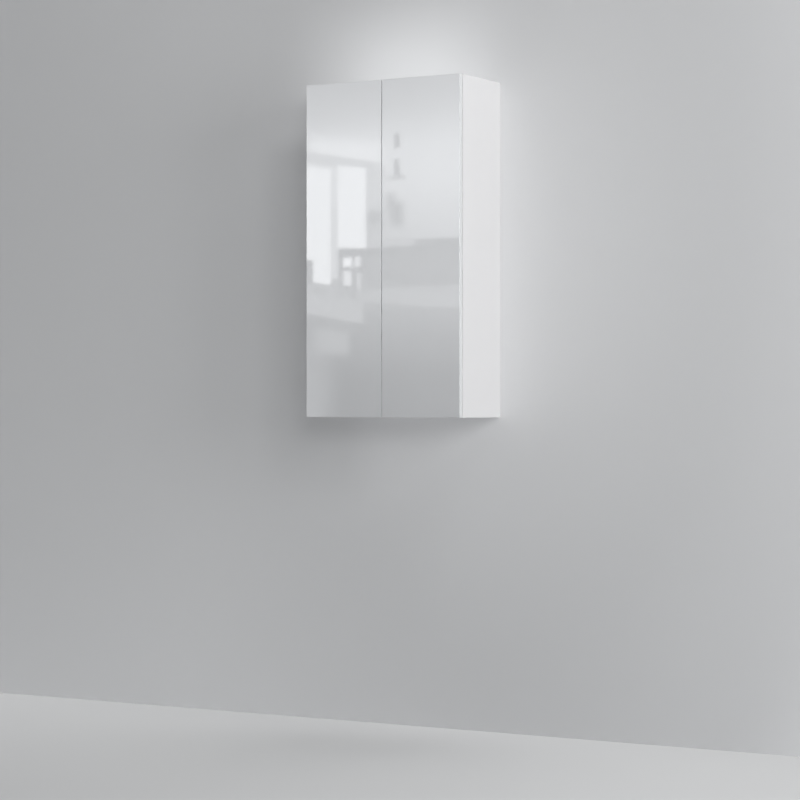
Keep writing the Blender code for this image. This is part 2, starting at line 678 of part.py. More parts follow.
def make_plate(name, hand, z, material):
    """The cross-shaped mounting plate with its two screws."""
    base = INNER_X - SEAT_GAP
    face = base - PLATE_THICKNESS
    front = CARCASS_FRONT_Y + PLATE_SETBACK
    screw_y = CARCASS_FRONT_Y + PLATE_SCREW_SETBACK
    wing_half = PLATE_WING_WIDTH / 2
    plans = (
        ((front, -PLATE_HALF_HEIGHT), (front + PLATE_LENGTH, PLATE_HALF_HEIGHT)),
        ((screw_y - wing_half, -PLATE_WING_HALF_HEIGHT), (screw_y + wing_half, PLATE_WING_HALF_HEIGHT)),
    )
    sheets = []
    for low, high in plans:
        plan = rounded_rectangle(low, high, PLATE_CORNER)
        outline = [(hand * base, y, z + up) for y, up in plan]
        sheets.append(new_shape((add_prism, outline, (hand * -PLATE_THICKNESS, 0, 0))))
    plate = make_piece(name, sheets[0], material)
    combine(plate, "UNION", sheets[1])
    rib_half = LINK_WIDTH / 2
    rib_low = (hand * (base - PLATE_THICKNESS / 2), front + PLATE_RIB_INSET, z - rib_half)
    rib_high = (hand * (face - PLATE_RIB_HEIGHT), front + PLATE_LENGTH - PLATE_RIB_INSET, z + rib_half)
    combine(plate, "UNION", new_shape((add_box, rib_low, rib_high)))
    for step in (-1, 1):
        screw_z = z + step * PLATE_SCREW_HALF_PITCH
        head = (hand * (face - PLATE_SCREW_HEAD), screw_y, screw_z)
        seat = (hand * (base - PLATE_THICKNESS / 2), screw_y, screw_z)
        tip = (hand * (INNER_X + PLATE_SCREW_LENGTH - HOLE_CLEARANCE), screw_y, screw_z)
        combine(plate, "UNION", new_shape((add_cylinder, seat, head, PLATE_SCREW_HEAD_RADIUS, SMALL_SIDES)))
        combine(plate, "UNION", new_shape((add_cylinder, tip, seat, PLATE_SCREW_RADIUS, HOLE_SIDES)))


def make_hinges(side, hand, link_axis, door_axis, material):
    """The two concealed hinges of a door."""
    for row, z in HINGE_ROWS.items():
        attach(make_cup(f"hinge_cup_{side}_{row}", hand, z, material), door_axis)
        attach(make_link(f"hinge_link_{side}_{row}", hand, z, material), link_axis)
        make_arm(f"hinge_arm_{side}_{row}", hand, z, material)
        make_plate(f"hinge_plate_{side}_{row}", hand, z, material)


def make_latch(side, hand, materials):
    """A push latch: a housing in the bottom panel's front edge and its plunger."""
    x = hand * LATCH_OFFSET
    z = BOTTOM_THICKNESS / 2
    rear = CARCASS_FRONT_Y + LATCH_LENGTH
    body = new_shape((add_cylinder, (x, CARCASS_FRONT_Y, z), (x, rear, z), LATCH_RADIUS, SMALL_SIDES))
    housing = make_piece(f"latch_housing_{side}", body, materials["latch"], smooth=True)
    bore_end = (x, CARCASS_FRONT_Y + LATCH_BORE_DEPTH, z)
    bore = (add_cylinder, (x, CARCASS_FRONT_Y - OVERRUN, z), bore_end, LATCH_BORE_RADIUS, SMALL_SIDES)
    combine(housing, "DIFFERENCE", new_shape(bore))
    tip = DOOR_PAD_Y + STRIKE_THICKNESS + SEAT_GAP
    shoulder = tip + PLUNGER_CHAMFER
    tip_radius = PLUNGER_RADIUS - PLUNGER_CHAMFER
    nose = (add_cylinder, (x, shoulder, z), (x, tip, z), PLUNGER_RADIUS, SMALL_SIDES, tip_radius)
    stem = (add_cylinder, (x, shoulder, z), (x, tip + PLUNGER_LENGTH, z), PLUNGER_RADIUS, SMALL_SIDES)
    plunger = new_shape(stem, nose)
    weld_shoulder(plunger)
    make_piece(f"latch_plunger_{side}", plunger, materials["plunger"], (x, tip, z), smooth=True)


def weld_shoulder(shape):
    """Merge two stacked turned shapes into one, without the faces between them."""
    bmesh.ops.remove_doubles(shape, verts=shape.verts, dist=WELD_DISTANCE)
    inner = [face for face in shape.faces if all(len(edge.link_faces) > 2 for edge in face.edges)]
    bmesh.ops.delete(shape, geom=inner, context="FACES_ONLY")


def latch_hole(hand):
    """The bore for a latch in the bottom panel's front edge."""
    x = hand * LATCH_OFFSET
    z = BOTTOM_THICKNESS / 2
    start = (x, CARCASS_FRONT_Y - OVERRUN, z)
    end = (x, CARCASS_FRONT_Y + LATCH_LENGTH + SEAT_GAP, z)
    return (add_cylinder, start, end, LATCH_RADIUS + HOLE_CLEARANCE, SMALL_SIDES)


def make_hanger(side, hand, materials):
    """A wall hanger: a housing pegged to the side panel and its steel hook."""
    half = HANGER_WIDTH / 2
    low = (-half, HANGER_TOP_Z - HANGER_HEIGHT)
    high = (half, HANGER_TOP_Z)
    front = HANGER_REAR_Y - HANGER_DEPTH
    outline = [(hand * HANGER_X + x, front, z) for x, z in rounded_rectangle(low, high, HANGER_CORNER)]
    body = new_shape((add_prism, outline, (0, HANGER_DEPTH, 0)))
    housing = make_piece(f"hanger_housing_{side}", body, materials["hanger"])
    slot_half = HOOK_WIDTH / 2 + HOLE_CLEARANCE
    slot_front = HANGER_REAR_Y - HOOK_INSIDE - HOLE_CLEARANCE
    slot_low = (hand * HANGER_X - slot_half, slot_front, HOOK_TOP_Z - HOOK_THICKNESS - HOLE_CLEARANCE)
    slot_high = (hand * HANGER_X + slot_half, HANGER_REAR_Y + OVERRUN, HOOK_TOP_Z + HOLE_CLEARANCE)
    combine(housing, "DIFFERENCE", new_shape((add_box, slot_low, slot_high)))
    for step in (0, 1):
        z = HANGER_TOP_Z - HANGER_BOSS_DROP - step * HANGER_BOSS_PITCH
        y = HANGER_REAR_Y - HANGER_BOSS_SETBACK
        root = (hand * (INNER_X - SEAT_GAP - HOLE_CLEARANCE), y, z)
        tip = (hand * (INNER_X + HANGER_BOSS_LENGTH), y, z)
        combine(housing, "UNION", new_shape((add_cylinder, root, tip, HANGER_BOSS_RADIUS, SMALL_SIDES)))
        z = HANGER_TOP_Z - HANGER_SCREW_DROP - step * HANGER_SCREW_PITCH
        head = (hand * HANGER_X, front - HANGER_SCREW_HEAD, z)
        seat = (hand * HANGER_X, front + HANGER_SCREW_HEAD, z)
        combine(housing, "UNION", new_shape((add_cylinder, seat, head, HANGER_SCREW_RADIUS, SMALL_SIDES)))
    make_hook(f"hanger_hook_{side}", hand, materials["hook"])


def make_hook(name, hand, material):
    """A steel hook with a seat behind its lip, where the wall rail bears."""
    start = HANGER_REAR_Y - HOOK_INSIDE
    lip_rear = WALL_Y - HOOK_WALL_CLEARANCE
    lip_front = lip_rear - HOOK_THICKNESS
    seat_front = lip_front - HOOK_SEAT_LENGTH
    underside = HOOK_TOP_Z - HOOK_THICKNESS
    profile = (
        (start, HOOK_TOP_Z),
        (start, underside),
        (seat_front, underside),
        (seat_front, underside + HOOK_SEAT_DEPTH),
        (lip_front, underside + HOOK_SEAT_DEPTH),
        (lip_front, underside - HOOK_LIP),
        (lip_rear, underside - HOOK_LIP),
        (lip_rear, HOOK_TOP_Z),
    )
    outline = [(hand * HANGER_X - HOOK_WIDTH / 2, y, z) for y, z in profile]
    make_piece(name, new_shape((add_prism, outline, (HOOK_WIDTH, 0, 0))), material)


def main():
    """Build the cabinet."""
    clear_scene()
    materials = make_materials()
    make_cross_panel("top_panel", INNER_TOP_Z, HEIGHT, materials["board"])
    bottom = make_cross_panel("bottom_panel", BOTTOM_THICKNESS, 0, materials["board"])
    combine(bottom, "DIFFERENCE", new_shape(*(latch_hole(hand) for hand in HANDS.values())))
    make_back_panel(materials["back"])
    make_dowels(materials["dowel"])
    for index in range(SHELF_COUNT):
        make_shelf(index, materials)
    for side, hand in HANDS.items():
        make_side_panel(f"side_panel_{side}", hand, materials["board"])
        link_axis = make_axis(f"link_axis_{side}", (hand * ARM_PIVOT_X, ARM_PIVOT_Y, HEIGHT / 2))
        door_axis = make_axis(f"door_axis_{side}", (hand * CUP_PIVOT_X, CUP_PIVOT_Y, HEIGHT / 2))
        attach(door_axis, link_axis)
        make_door(side, hand, door_axis, materials)
        make_hinges(side, hand, link_axis, door_axis, materials["hinge"])
        make_latch(side, hand, materials)
        make_hanger(side, hand, materials)


main()
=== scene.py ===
"""Wall cabinet with two gloss doors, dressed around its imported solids.

Metres, +Z up. The doors face -Y, the wall is at +Y and the origin is at the middle of the underside.
Each sub-assembly is a class that holds its sizes, builds its meshes and dresses them. Hinges, hangers
and shelf pins are built for the right hand and mirrored for the left.
"""

import logging
import math
from collections.abc import Callable, Sequence
from dataclasses import dataclass
from enum import Enum
from itertools import product

import bmesh
import bpy
from mathutils import Matrix, Vector


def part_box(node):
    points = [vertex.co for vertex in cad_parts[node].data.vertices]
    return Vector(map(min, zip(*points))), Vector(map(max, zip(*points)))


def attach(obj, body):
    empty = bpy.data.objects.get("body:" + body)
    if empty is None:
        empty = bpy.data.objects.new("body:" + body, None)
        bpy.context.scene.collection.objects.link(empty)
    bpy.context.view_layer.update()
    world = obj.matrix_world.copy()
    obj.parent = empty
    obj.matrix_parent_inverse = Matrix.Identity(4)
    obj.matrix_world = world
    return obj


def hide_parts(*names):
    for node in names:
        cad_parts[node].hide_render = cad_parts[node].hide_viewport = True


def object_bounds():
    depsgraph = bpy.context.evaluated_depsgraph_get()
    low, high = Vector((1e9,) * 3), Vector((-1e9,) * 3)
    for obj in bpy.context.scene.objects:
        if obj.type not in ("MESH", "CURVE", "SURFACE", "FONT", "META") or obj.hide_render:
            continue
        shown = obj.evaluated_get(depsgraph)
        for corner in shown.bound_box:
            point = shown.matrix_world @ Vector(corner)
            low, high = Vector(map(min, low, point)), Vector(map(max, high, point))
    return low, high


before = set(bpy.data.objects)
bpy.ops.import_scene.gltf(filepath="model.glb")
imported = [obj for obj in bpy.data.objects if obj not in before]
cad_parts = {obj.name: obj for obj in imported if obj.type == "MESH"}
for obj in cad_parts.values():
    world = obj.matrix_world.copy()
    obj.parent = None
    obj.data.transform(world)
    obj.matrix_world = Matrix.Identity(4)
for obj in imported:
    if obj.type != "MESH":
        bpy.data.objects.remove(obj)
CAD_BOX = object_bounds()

Point = tuple[float, float, float] | Vector
Colour = tuple[float, float, float]
Station = tuple[float, float]
Span = tuple[float, float]
Settings = dict[str, object]
Sockets = dict[int | str, object]

LOG = logging.getLogger("cabinet")
WELD = 0.000001
OVERRUN = 0.002
CREASE = 32.0
COPLANAR = 1.0
ALIGNED = 0.999
PRESSED = 50.0
SQUARE = 60.0
UP = (0.0, 0.0, 1.0)
DOWN = (0.0, 0.0, -1.0)
REARWARD = (0.0, 1.0, 0.0)
FORWARD = (0.0, -1.0, 0.0)
INWARD = (-1.0, 0.0, 0.0)
OUTWARD = (1.0, 0.0, 0.0)


class Place(Enum):
    """A place whose name is part of the names of the pieces there."""

    @property
    def word(self) -> str:
        """The place's name in lower case."""
        return self.name.lower()


class Hand(Place):
    """The side that a mirrored fitting is on."""

    LEFT = -1
    RIGHT = 1


class Level(Place):
    """The two heights at which each door has a hinge."""

    LOWER = 0
    UPPER = 1


class Tier(Place):
    """The three heights of the shelves."""

    LOWER = 0
    MIDDLE = 1
    UPPER = 2


class End(Place):
    """The two ends of a door or side panel."""

    BOTTOM = 0
    TOP = 1


class Row(Place):
    """The two rows of shelf pins and dowels along each side panel."""

    FRONT = 0
    REAR = 1


class Ray(Enum):
    """The kinds of ray that a sheet of the stage can be hidden from."""

    CAMERA = "visible_camera"
    DIFFUSE = "visible_diffuse"
    GLOSSY = "visible_glossy"
    TRANSMISSION = "visible_transmission"
    SHADOW = "visible_shadow"


class Cut(Enum):
    """What a Boolean keeps of two shapes."""

    AWAY = "DIFFERENCE"
    SHARED = "INTERSECT"


class Axis(Enum):
    """The directions along which only some edges are rounded."""

    ACROSS = 0
    DEPTH = 1
    HEIGHT = 2


@dataclass(frozen=True)
class Extent:
    """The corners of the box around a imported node."""

    low: Vector
    high: Vector

    @classmethod
    def of(cls, node: str) -> "Extent":
        """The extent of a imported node."""
        return cls(*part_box(node))

    @property
    def middle(self) -> Vector:
        """The point half-way between the corners."""
        return (self.low + self.high) / 2

    @property
    def radius(self) -> float:
        """Half the width."""
        return (self.high.x - self.low.x) / 2

    @property
    def depth(self) -> float:
        """The length from front to rear."""
        return self.high.y - self.low.y

    @property
    def front(self) -> Point:
        """The middle of the front face."""
        return (self.middle.x, self.low.y, self.middle.z)


def stepped(pairs: Sequence[Station], radius: float, start: float = 0.0, way: int = 1) -> list[Station]:
    """Stations on the way from a start, onwards or back, each a little inside a radius."""
    return [(start + way * run, radius - inset) for run, inset in pairs]


def chamfered(end: float, radius: float, chamfer: float) -> list[Station]:
    """The last stations of a turned form that ends in a chamfer."""
    return [(end - chamfer, radius), (end, radius - chamfer), (end, 0.0)]


class Shape:
    """A closed form in the making, shaped with bmesh operators."""

    def __init__(self, source: bpy.types.Mesh | None = None) -> None:
        """Start empty, or from a mesh.

        Args:
            source: A mesh whose geometry the shape starts from.
        """
        self.form = bmesh.new()
        if source is not None:
            self.form.from_mesh(source)

    @classmethod
    def block(cls, low: Point, high: Point, radius: float = 0.0, steps: int = 3) -> "Shape":
        """Make a cuboid between two corners.

        Args:
            low: Lowest corner.
            high: Highest corner.
            radius: Radius of its edges.
            steps: Facets of each rounded edge.

        Returns:
            The new shape.
        """
        shape = cls()
        middle = (Vector(low) + Vector(high)) / 2
        size = Vector(high) - Vector(low)
        bmesh.ops.create_cube(shape.form, size=1.0, matrix=Matrix.LocRotScale(middle, None, size))
        return shape.soften(radius, steps)

    @classmethod
    def rod(cls, start: Point, end: Point, radius: float, sides: int = 24, edge: float = 0.0) -> "Shape":
        """Make a cylinder between the middles of its ends.

        Args:
            start: Middle of one end.
            end: Middle of the other end.
            radius: Radius of the rod.
            sides: Facets around it.
            edge: Radius of its two rims.

        Returns:
            The new shape.
        """
        shape = cls()
        run = Vector(end) - Vector(start)
        matrix = cls.turn((Vector(start) + Vector(end)) / 2, run)
        bmesh.ops.create_cone(shape.form, cap_ends=True, segments=sides, radius1=radius, radius2=radius,
                              depth=run.length, matrix=matrix)
        return shape.soften(edge, 2, SQUARE)

    @classmethod
    def turned(cls, stations: Sequence[Station], start: Point, towards: Point, steps: int = 32) -> "Shape":
        """Spin a profile about an axis.

        Args:
            stations: Distances along the axis with the radius at each, from axis to axis.
            start: Where the axis starts.
            towards: Direction of the axis.
            steps: Facets of the full turn.

        Returns:
            The new shape.
        """
        shape = cls()
        line = [shape.form.verts.new((radius, 0.0, along)) for along, radius in stations]
        edges = [shape.form.edges.new(pair) for pair in zip(line, line[1:])]
        bmesh.ops.spin(shape.form, geom=line + edges, cent=(0, 0, 0), axis=UP, angle=2 * math.pi,
                       steps=steps, use_merge=True)
        bmesh.ops.remove_doubles(shape.form, verts=shape.form.verts, dist=WELD)
        return shape.outward().moved(cls.turn(start, towards))

    @classmethod
    def swept(cls, outline: list[Point], travel: Point) -> "Shape":
        """Extrude a closed outline.

        Args:
            outline: Corners of the outline, in order.
            travel: How far and which way it is extruded.

        Returns:
            The new shape.
        """
        shape = cls()
        face = shape.form.faces.new([shape.form.verts.new(point) for point in outline])
        swept = bmesh.ops.extrude_face_region(shape.form, geom=[face], use_keep_orig=True)
        moved = [item for item in swept["geom"] if isinstance(item, bmesh.types.BMVert)]
        bmesh.ops.translate(shape.form, vec=Vector(travel), verts=moved)
        return shape.outward()

    @classmethod
    def of_node(cls, node: str) -> "Shape":
        """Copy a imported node's solid and merge its loose triangles.

        Args:
            node: Name of the node.

        Returns:
            The new shape.
        """
        shape = cls(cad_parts[node].data)
        bmesh.ops.remove_doubles(shape.form, verts=shape.form.verts, dist=WELD)
        bmesh.ops.dissolve_limit(shape.form, angle_limit=math.radians(COPLANAR), verts=shape.form.verts,
                                 edges=shape.form.edges)
        return shape

    @staticmethod
    def turn(place: Point, towards: Point) -> Matrix:
        """The matrix that stands a form at a place, with its top towards a direction."""
        rotation = Vector(UP).rotation_difference(Vector(towards)).to_matrix().to_4x4()
        return Matrix.Translation(place) @ rotation

    def outward(self) -> "Shape":
        """Turn every face outwards."""
        bmesh.ops.recalc_face_normals(self.form, faces=self.form.faces)
        return self

    def moved(self, matrix: Matrix) -> "Shape":
        """Move the shape by a matrix."""
        bmesh.ops.transform(self.form, matrix=matrix, verts=self.form.verts)
        return self

    def soften(self, radius: float, steps: int = 3, angle: float = 30.0,
               where: Callable[[bmesh.types.BMEdge], bool] | None = None) -> "Shape":
        """Round the shape's sharp edges.

        Args:
            radius: Radius of the rounding; zero leaves the shape as it is.
            steps: Facets of each rounded edge.
            angle: Least angle in degrees at which an edge counts as sharp.
            where: Test that an edge passes to be rounded.

        Returns:
            The shape itself.
        """
        if radius <= 0:
            return self
        limit = math.radians(angle)
        sharp = [edge for edge in self.form.edges if edge.is_manifold and edge.calc_face_angle(0.0) > limit]
        edges = [edge for edge in sharp if where is None or where(edge)]
        bmesh.ops.bevel(self.form, geom=edges, offset=radius, offset_type="OFFSET", affect="EDGES",
                        segments=steps, profile=0.5, material=-1, clamp_overlap=True)
        return self

    def corners(self, axis: Axis, radius: float, steps: int = 5) -> "Shape":
        """Round only the sharp edges that run along one axis.

        Args:
            axis: Direction of those edges.
            radius: Radius of the rounding.
            steps: Facets of each rounded edge.

        Returns:
            The shape itself.
        """
        def along(edge: bmesh.types.BMEdge) -> bool:
            """Whether an edge runs along the axis."""
            run = (edge.verts[1].co - edge.verts[0].co).normalized()
            return abs(run[axis.value]) > ALIGNED

        return self.soften(radius, steps, where=along)

    def join(self, *others: "Shape") -> "Shape":
        """Add other shapes to this one.

        Args:
            others: The shapes to add.

        Returns:
            The shape itself.
        """
        for other in others:
            mesh = other.mesh("joining")
            self.form.from_mesh(mesh)
            bpy.data.meshes.remove(mesh)
        return self

    def copy(self) -> "Shape":
        """A second shape of the same form."""
        return Shape().join(self)

    def handed(self, hand: Hand) -> "Shape":
        """Mirror the shape for the left hand.

        Args:
            hand: The side that the fitting is on.

        Returns:
            The shape itself.
        """
        if hand is Hand.LEFT:
            bmesh.ops.scale(self.form, vec=(-1, 1, 1), verts=self.form.verts)
            bmesh.ops.reverse_faces(self.form, faces=self.form.faces)
        return self

    def carved(self, cutter: "Shape", cut: Cut = Cut.AWAY) -> "Shape":
        """Cut another shape out of this one, or keep what they share.

        Args:
            cutter: The other shape.
            cut: Which of the two is wanted.

        Returns:
            The new shape.
        """
        body = bpy.data.objects.new("carving", self.mesh("carving"))
        tool = bpy.data.objects.new("cutter", cutter.mesh("cutter"))
        for item in (body, tool):
            bpy.context.scene.collection.objects.link(item)
        modifier = body.modifiers.new("cut", "BOOLEAN")
        modifier.operation = cut.value
        modifier.solver = "EXACT"
        modifier.object = tool
        depsgraph = bpy.context.evaluated_depsgraph_get()
        depsgraph.update()
        result = bpy.data.meshes.new_from_object(body.evaluated_get(depsgraph))
        made = Shape(result)
        meshes = (result, body.data, tool.data)
        for item in (body, tool):
            bpy.data.objects.remove(item, do_unlink=True)
        for mesh in meshes:
            bpy.data.meshes.remove(mesh)
        return made

    def mesh(self, name: str) -> bpy.types.Mesh:
        """Write the form to a new mesh.

        Args:
            name: Name of the mesh.

        Returns:
            The mesh.
        """
        mesh = bpy.data.meshes.new(name)
        self.form.to_mesh(mesh)
        return mesh

    def place(self, name: str, finish: bpy.types.Material, body: str, slot: str, *nodes: str) -> None:
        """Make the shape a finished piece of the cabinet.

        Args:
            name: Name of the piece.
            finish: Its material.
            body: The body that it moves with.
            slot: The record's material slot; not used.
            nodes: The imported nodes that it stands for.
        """
        mesh = self.mesh(name)
        mesh.materials.append(finish)
        mesh.shade_smooth()
        mesh.set_sharp_from_angle(angle=math.radians(CREASE))
        piece = bpy.data.objects.new(name, mesh)
        bpy.context.scene.collection.objects.link(piece)
        weights = piece.modifiers.new("face_weights", "WEIGHTED_NORMAL")
        weights.keep_sharp = True
        if nodes:
            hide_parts(*nodes)
        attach(piece, body)
        LOG.info("%s rides on %s", name, body)


class Value:
    """A socket's number, with arithmetic that adds the nodes for it."""

    def __init__(self, shader: "Shader", socket: bpy.types.NodeSocket) -> None:
        """Wrap an output socket of a shader's node tree."""
        self.shader = shader
        self.socket = socket

    def other(self, name: str) -> "Value":
        """Another output of the same node."""
        return Value(self.shader, self.socket.node.outputs[name])

    def maths(self, operation: str, *values: "Value | float") -> "Value":
        """The result of a Math node with these inputs."""
        return self.shader.node("ShaderNodeMath", {"operation": operation}, dict(enumerate(values)))

    def __add__(self, other: "Value | float") -> "Value":
        """This plus the other."""
        return self.maths("ADD", self, other)

    def __radd__(self, other: float) -> "Value":
        """The other plus this."""
        return self.maths("ADD", other, self)

    def __sub__(self, other: "Value | float") -> "Value":
        """This less the other."""
        return self.maths("SUBTRACT", self, other)

    def __rsub__(self, other: float) -> "Value":
        """The other less this."""
        return self.maths("SUBTRACT", other, self)

    def __mul__(self, other: "Value | float") -> "Value":
        """This times the other."""
        return self.maths("MULTIPLY", self, other)

    def __truediv__(self, other: "Value | float") -> "Value":
        """This over the other."""
        return self.maths("DIVIDE", self, other)

    def least(self, other: "Value | float") -> "Value":
        """The smaller of the two."""
        return self.maths("MINIMUM", self, other)

    def most(self, other: "Value | float") -> "Value":
        """The larger of the two."""
        return self.maths("MAXIMUM", self, other)

    def root(self) -> "Value":
        """The square root."""
        return self.maths("SQRT", self)

    def swing(self, amount: float) -> "Value":
        """How far a noise is from its middle, times an amount."""
        return (self - 0.5) * amount

    def rising(self, low: float, high: float) -> "Value":
        """A number that goes smoothly from 0 at the low end to 1 at the high end."""
        return self.shader.node("ShaderNodeMapRange", {"interpolation_type": "SMOOTHSTEP"},
                                {0: self, 1: low, 2: high})

    def towards(self, other: "Value | float", share: "Value | float") -> "Value":
        """A number that goes from this to the other as the share goes from 0 to 1."""
        return self + (other - self) * share


class Shader:
    """A node tree for a material or a world, in which one method adds any node."""

    def __init__(self, name: str, owner: bpy.types.ID | None = None) -> None:
        """Start an empty tree.

        Args:
            name: Name of the new material.
            owner: A world to use in place of a new material.
        """
        self.owner = owner or bpy.data.materials.new(name)
        self.owner.use_nodes = True
        self.tree = self.owner.node_tree
        self.tree.nodes.clear()

    def node(self, kind: str, settings: Settings | None = None, sockets: Sockets | None = None,
             output: int = 0) -> Value | None:
        """Add a node.

        Args:
            kind: The node's type.
            settings: Its settings, with a ramp's colours under stops.
            sockets: The values or links of its input sockets.
            output: Index of the output that is wanted.

        Returns:
            That output, or nothing for a node that has none.
        """
        made = self.tree.nodes.new(kind)
        for name, value in (settings or {}).items():
            if name == "stops":
                self.fill_ramp(made.color_ramp, value)
            else:
                setattr(made, name, value)
        for key, value in (sockets or {}).items():
            if isinstance(value, Value):
                self.tree.links.new(value.socket, made.inputs[key])
            else:
                made.inputs[key].default_value = value
        return Value(self, made.outputs[output]) if made.outputs else None

    @staticmethod
    def fill_ramp(ramp: bpy.types.ColorRamp, stops: Sequence[tuple[float, Colour]]) -> None:
        """Give a colour ramp its stops.

        Args:
            ramp: The ramp.
            stops: Places from 0 to 1 with their colours.
        """
        while len(ramp.elements) < len(stops):
            ramp.elements.new(1.0)
        for element, (place, colour) in zip(ramp.elements, stops):
            element.position = place
            element.color = (*colour, 1.0)

    def position(self) -> tuple[Value, Value, Value]:
        """The three object coordinates, in metres."""
        x = self.node("ShaderNodeSeparateXYZ", sockets={0: self.node("ShaderNodeTexCoord", output=3)})
        return x, x.other("Y"), x.other("Z")

    def stretched(self, stretch: Point) -> Value:
        """The object coordinates, scaled along each axis."""
        place = self.node("ShaderNodeTexCoord", output=3)
        return self.node("ShaderNodeMapping", sockets={"Vector": place, "Scale": stretch})

    def noise(self, grain: Point | float, detail: float = 2.0, roughness: float = 0.5) -> Value:
        """Add soft noise.

        Args:
            grain: Cycles per metre, the same all ways or along each axis.
            detail: Octaves of finer noise.
            roughness: Strength of the finer octaves.

        Returns:
            The noise, about 0.5.
        """
        stretch = (grain,) * 3 if isinstance(grain, float) else grain
        return self.node("ShaderNodeTexNoise", None, {
            "Vector": self.stretched(stretch), "Scale": 1.0, "Detail": detail, "Roughness": roughness})

    def mix(self, mask: Value | float, first: Value | Colour, second: Value | Colour) -> Value:
        """The first colour, going to the second where the mask is 1."""
        pair = [(*colour, 1.0) if isinstance(colour, tuple) else colour for colour in (first, second)]
        return self.node("ShaderNodeMix", {"data_type": "RGBA"}, {0: mask, 6: pair[0], 7: pair[1]}, output=2)

    def darkened(self, mask: Value, colour: Colour, share: float) -> Value:
        """Take a colour down to a share of itself where a mask is 1."""
        return self.mix(mask, colour, tuple(share * part for part in colour))

    def bump(self, height: Value, distance: float, strength: float, normal: Value | None = None) -> Value:
        """Turn a height into a normal.

        Args:
            height: The height, about 0 to 1.
            distance: Metres that a height of 1 stands for.
            strength: Share of the effect.
            normal: A normal to build on.

        Returns:
            The normal.
        """
        sockets = {"Height": height, "Distance": distance, "Strength": strength}
        if normal is not None:
            sockets["Normal"] = normal
        return self.node("ShaderNodeBump", None, sockets)

    def rays(self) -> tuple[Value, Value]:
        """Where a ray comes from the camera, and where from a reflection or glass."""
        camera = self.node("ShaderNodeLightPath")
        return camera, camera.other("Is Glossy Ray").most(camera.other("Is Transmission Ray"))

    def principled(self, sockets: Sockets) -> bpy.types.Material:
        """Finish a material with a Principled surface."""
        return self.output(self.node("ShaderNodeBsdfPrincipled", None, sockets))

    def output(self, surface: Value, kind: str = "ShaderNodeOutputMaterial") -> bpy.types.ID:
        """Send a surface to the tree's output and hand back the finished material or world."""
        self.node(kind, None, {0: surface})
        return self.owner


@dataclass(frozen=True)
class Rise:
    """Between which values of a noise its effect sets in, and how strong it is then."""

    low: float
    high: float
    share: float = 1.0

    def of(self, noise: Value) -> Value:
        """The effect of a noise."""
        return noise.rising(self.low, self.high) * self.share


class BoxGauge:
    """Distances to the faces of a box, read on the surface of a board."""

    def __init__(self, shader: Shader, low: Point, high: Point) -> None:
        """Measure within a box.

        Args:
            shader: The tree to add nodes to.
            low: Lowest corner of the board.
            high: Highest corner of the board.
        """
        x, y, z = shader.position()
        across = (x - low[0]).least(high[0] - x)
        along = (y - low[1]).least(high[1] - y)
        upward = (z - low[2]).least(high[2] - z)
        shorter = across.least(along)
        longer = across.most(along)
        self.depth = shorter.least(upward)
        self.edge = shorter.most(longer.least(upward))
        self.end = across
        self.rear = high[1] - y


@dataclass(frozen=True)
class MelamineBoard:
    """Chipboard with a satin melamine face and raw edges where no band covers it."""

    name: str
    low: Point
    high: Point
    raw_ends: bool = False
    colour: Colour = (0.845, 0.84, 0.85)
    darkest: float = 0.965
    chip_stops: tuple[tuple[float, Colour], ...] = (
        (0.15, (0.20, 0.12, 0.06)), (0.5, (0.45, 0.32, 0.19)), (0.85, (0.62, 0.49, 0.33)))
    chip_grain: Point = (640.0, 900.0, 520.0)
    fibre_grain: Point = (500.0, 1500.0, 500.0)
    cloud_grain: float = 5.0
    pearl_grain: float = 1300.0
    sheet: Span = (0.0003, 0.0005)
    sawn: Span = (0.00002, 0.00006)
    clouding: Rise = Rise(0.3, 0.75, 0.35)
    wear: float = 0.0016
    wear_shade: float = 0.4
    wear_dulling: float = 0.06
    roughness: float = 0.36
    cloud_swing: float = 0.10
    pearl_swing: float = 0.05
    raw_roughness: float = 0.85
    relief: float = 0.00025
    strength: float = 0.35
    face_relief: float = 0.05

    def dress(self) -> bpy.types.Material:
        """Build the board's material.

        Returns:
            The material.
        """
        shader = Shader(self.name)
        gauge = BoxGauge(shader, self.low, self.high)
        raw = gauge.depth.rising(*self.sheet).most(1 - gauge.rear.rising(*self.sawn))
        if self.raw_ends:
            raw = raw.most(1 - gauge.end.rising(*self.sawn))
        chips = shader.node("ShaderNodeTexVoronoi", {"feature": "F1"}, {
            "Vector": shader.stretched(self.chip_grain), "Scale": 1.0, "Randomness": 1.0}, output=1)
        chip_tone = shader.node("ShaderNodeRGBToBW", None, {0: chips})
        grit = chip_tone.towards(shader.noise(self.fibre_grain, detail=4.0), 0.5)
        core = shader.node("ShaderNodeValToRGB", {"stops": self.chip_stops}, {0: grit})
        cloud = shader.noise(self.cloud_grain, detail=3.0)
        pearl = shader.noise(self.pearl_grain, detail=1.0)
        # Within about a millimetre and a half of the board's edges the colour darkens a little and the finish
        # dulls.
        near_edge = 1 - gauge.edge.rising(0.0, self.wear)
        shade = self.clouding.of(cloud) + near_edge * self.wear_shade
        satin = self.roughness + cloud.swing(self.cloud_swing) + pearl.swing(self.pearl_swing)
        return shader.principled({
            "Base Color": shader.mix(raw, shader.darkened(shade, self.colour, self.darkest), core),
            "Roughness": (satin + near_edge * self.wear_dulling).towards(self.raw_roughness, raw),
            "Normal": shader.bump((pearl * self.face_relief).towards(1.0, raw) * grit, self.relief,
                                  self.strength),
        })


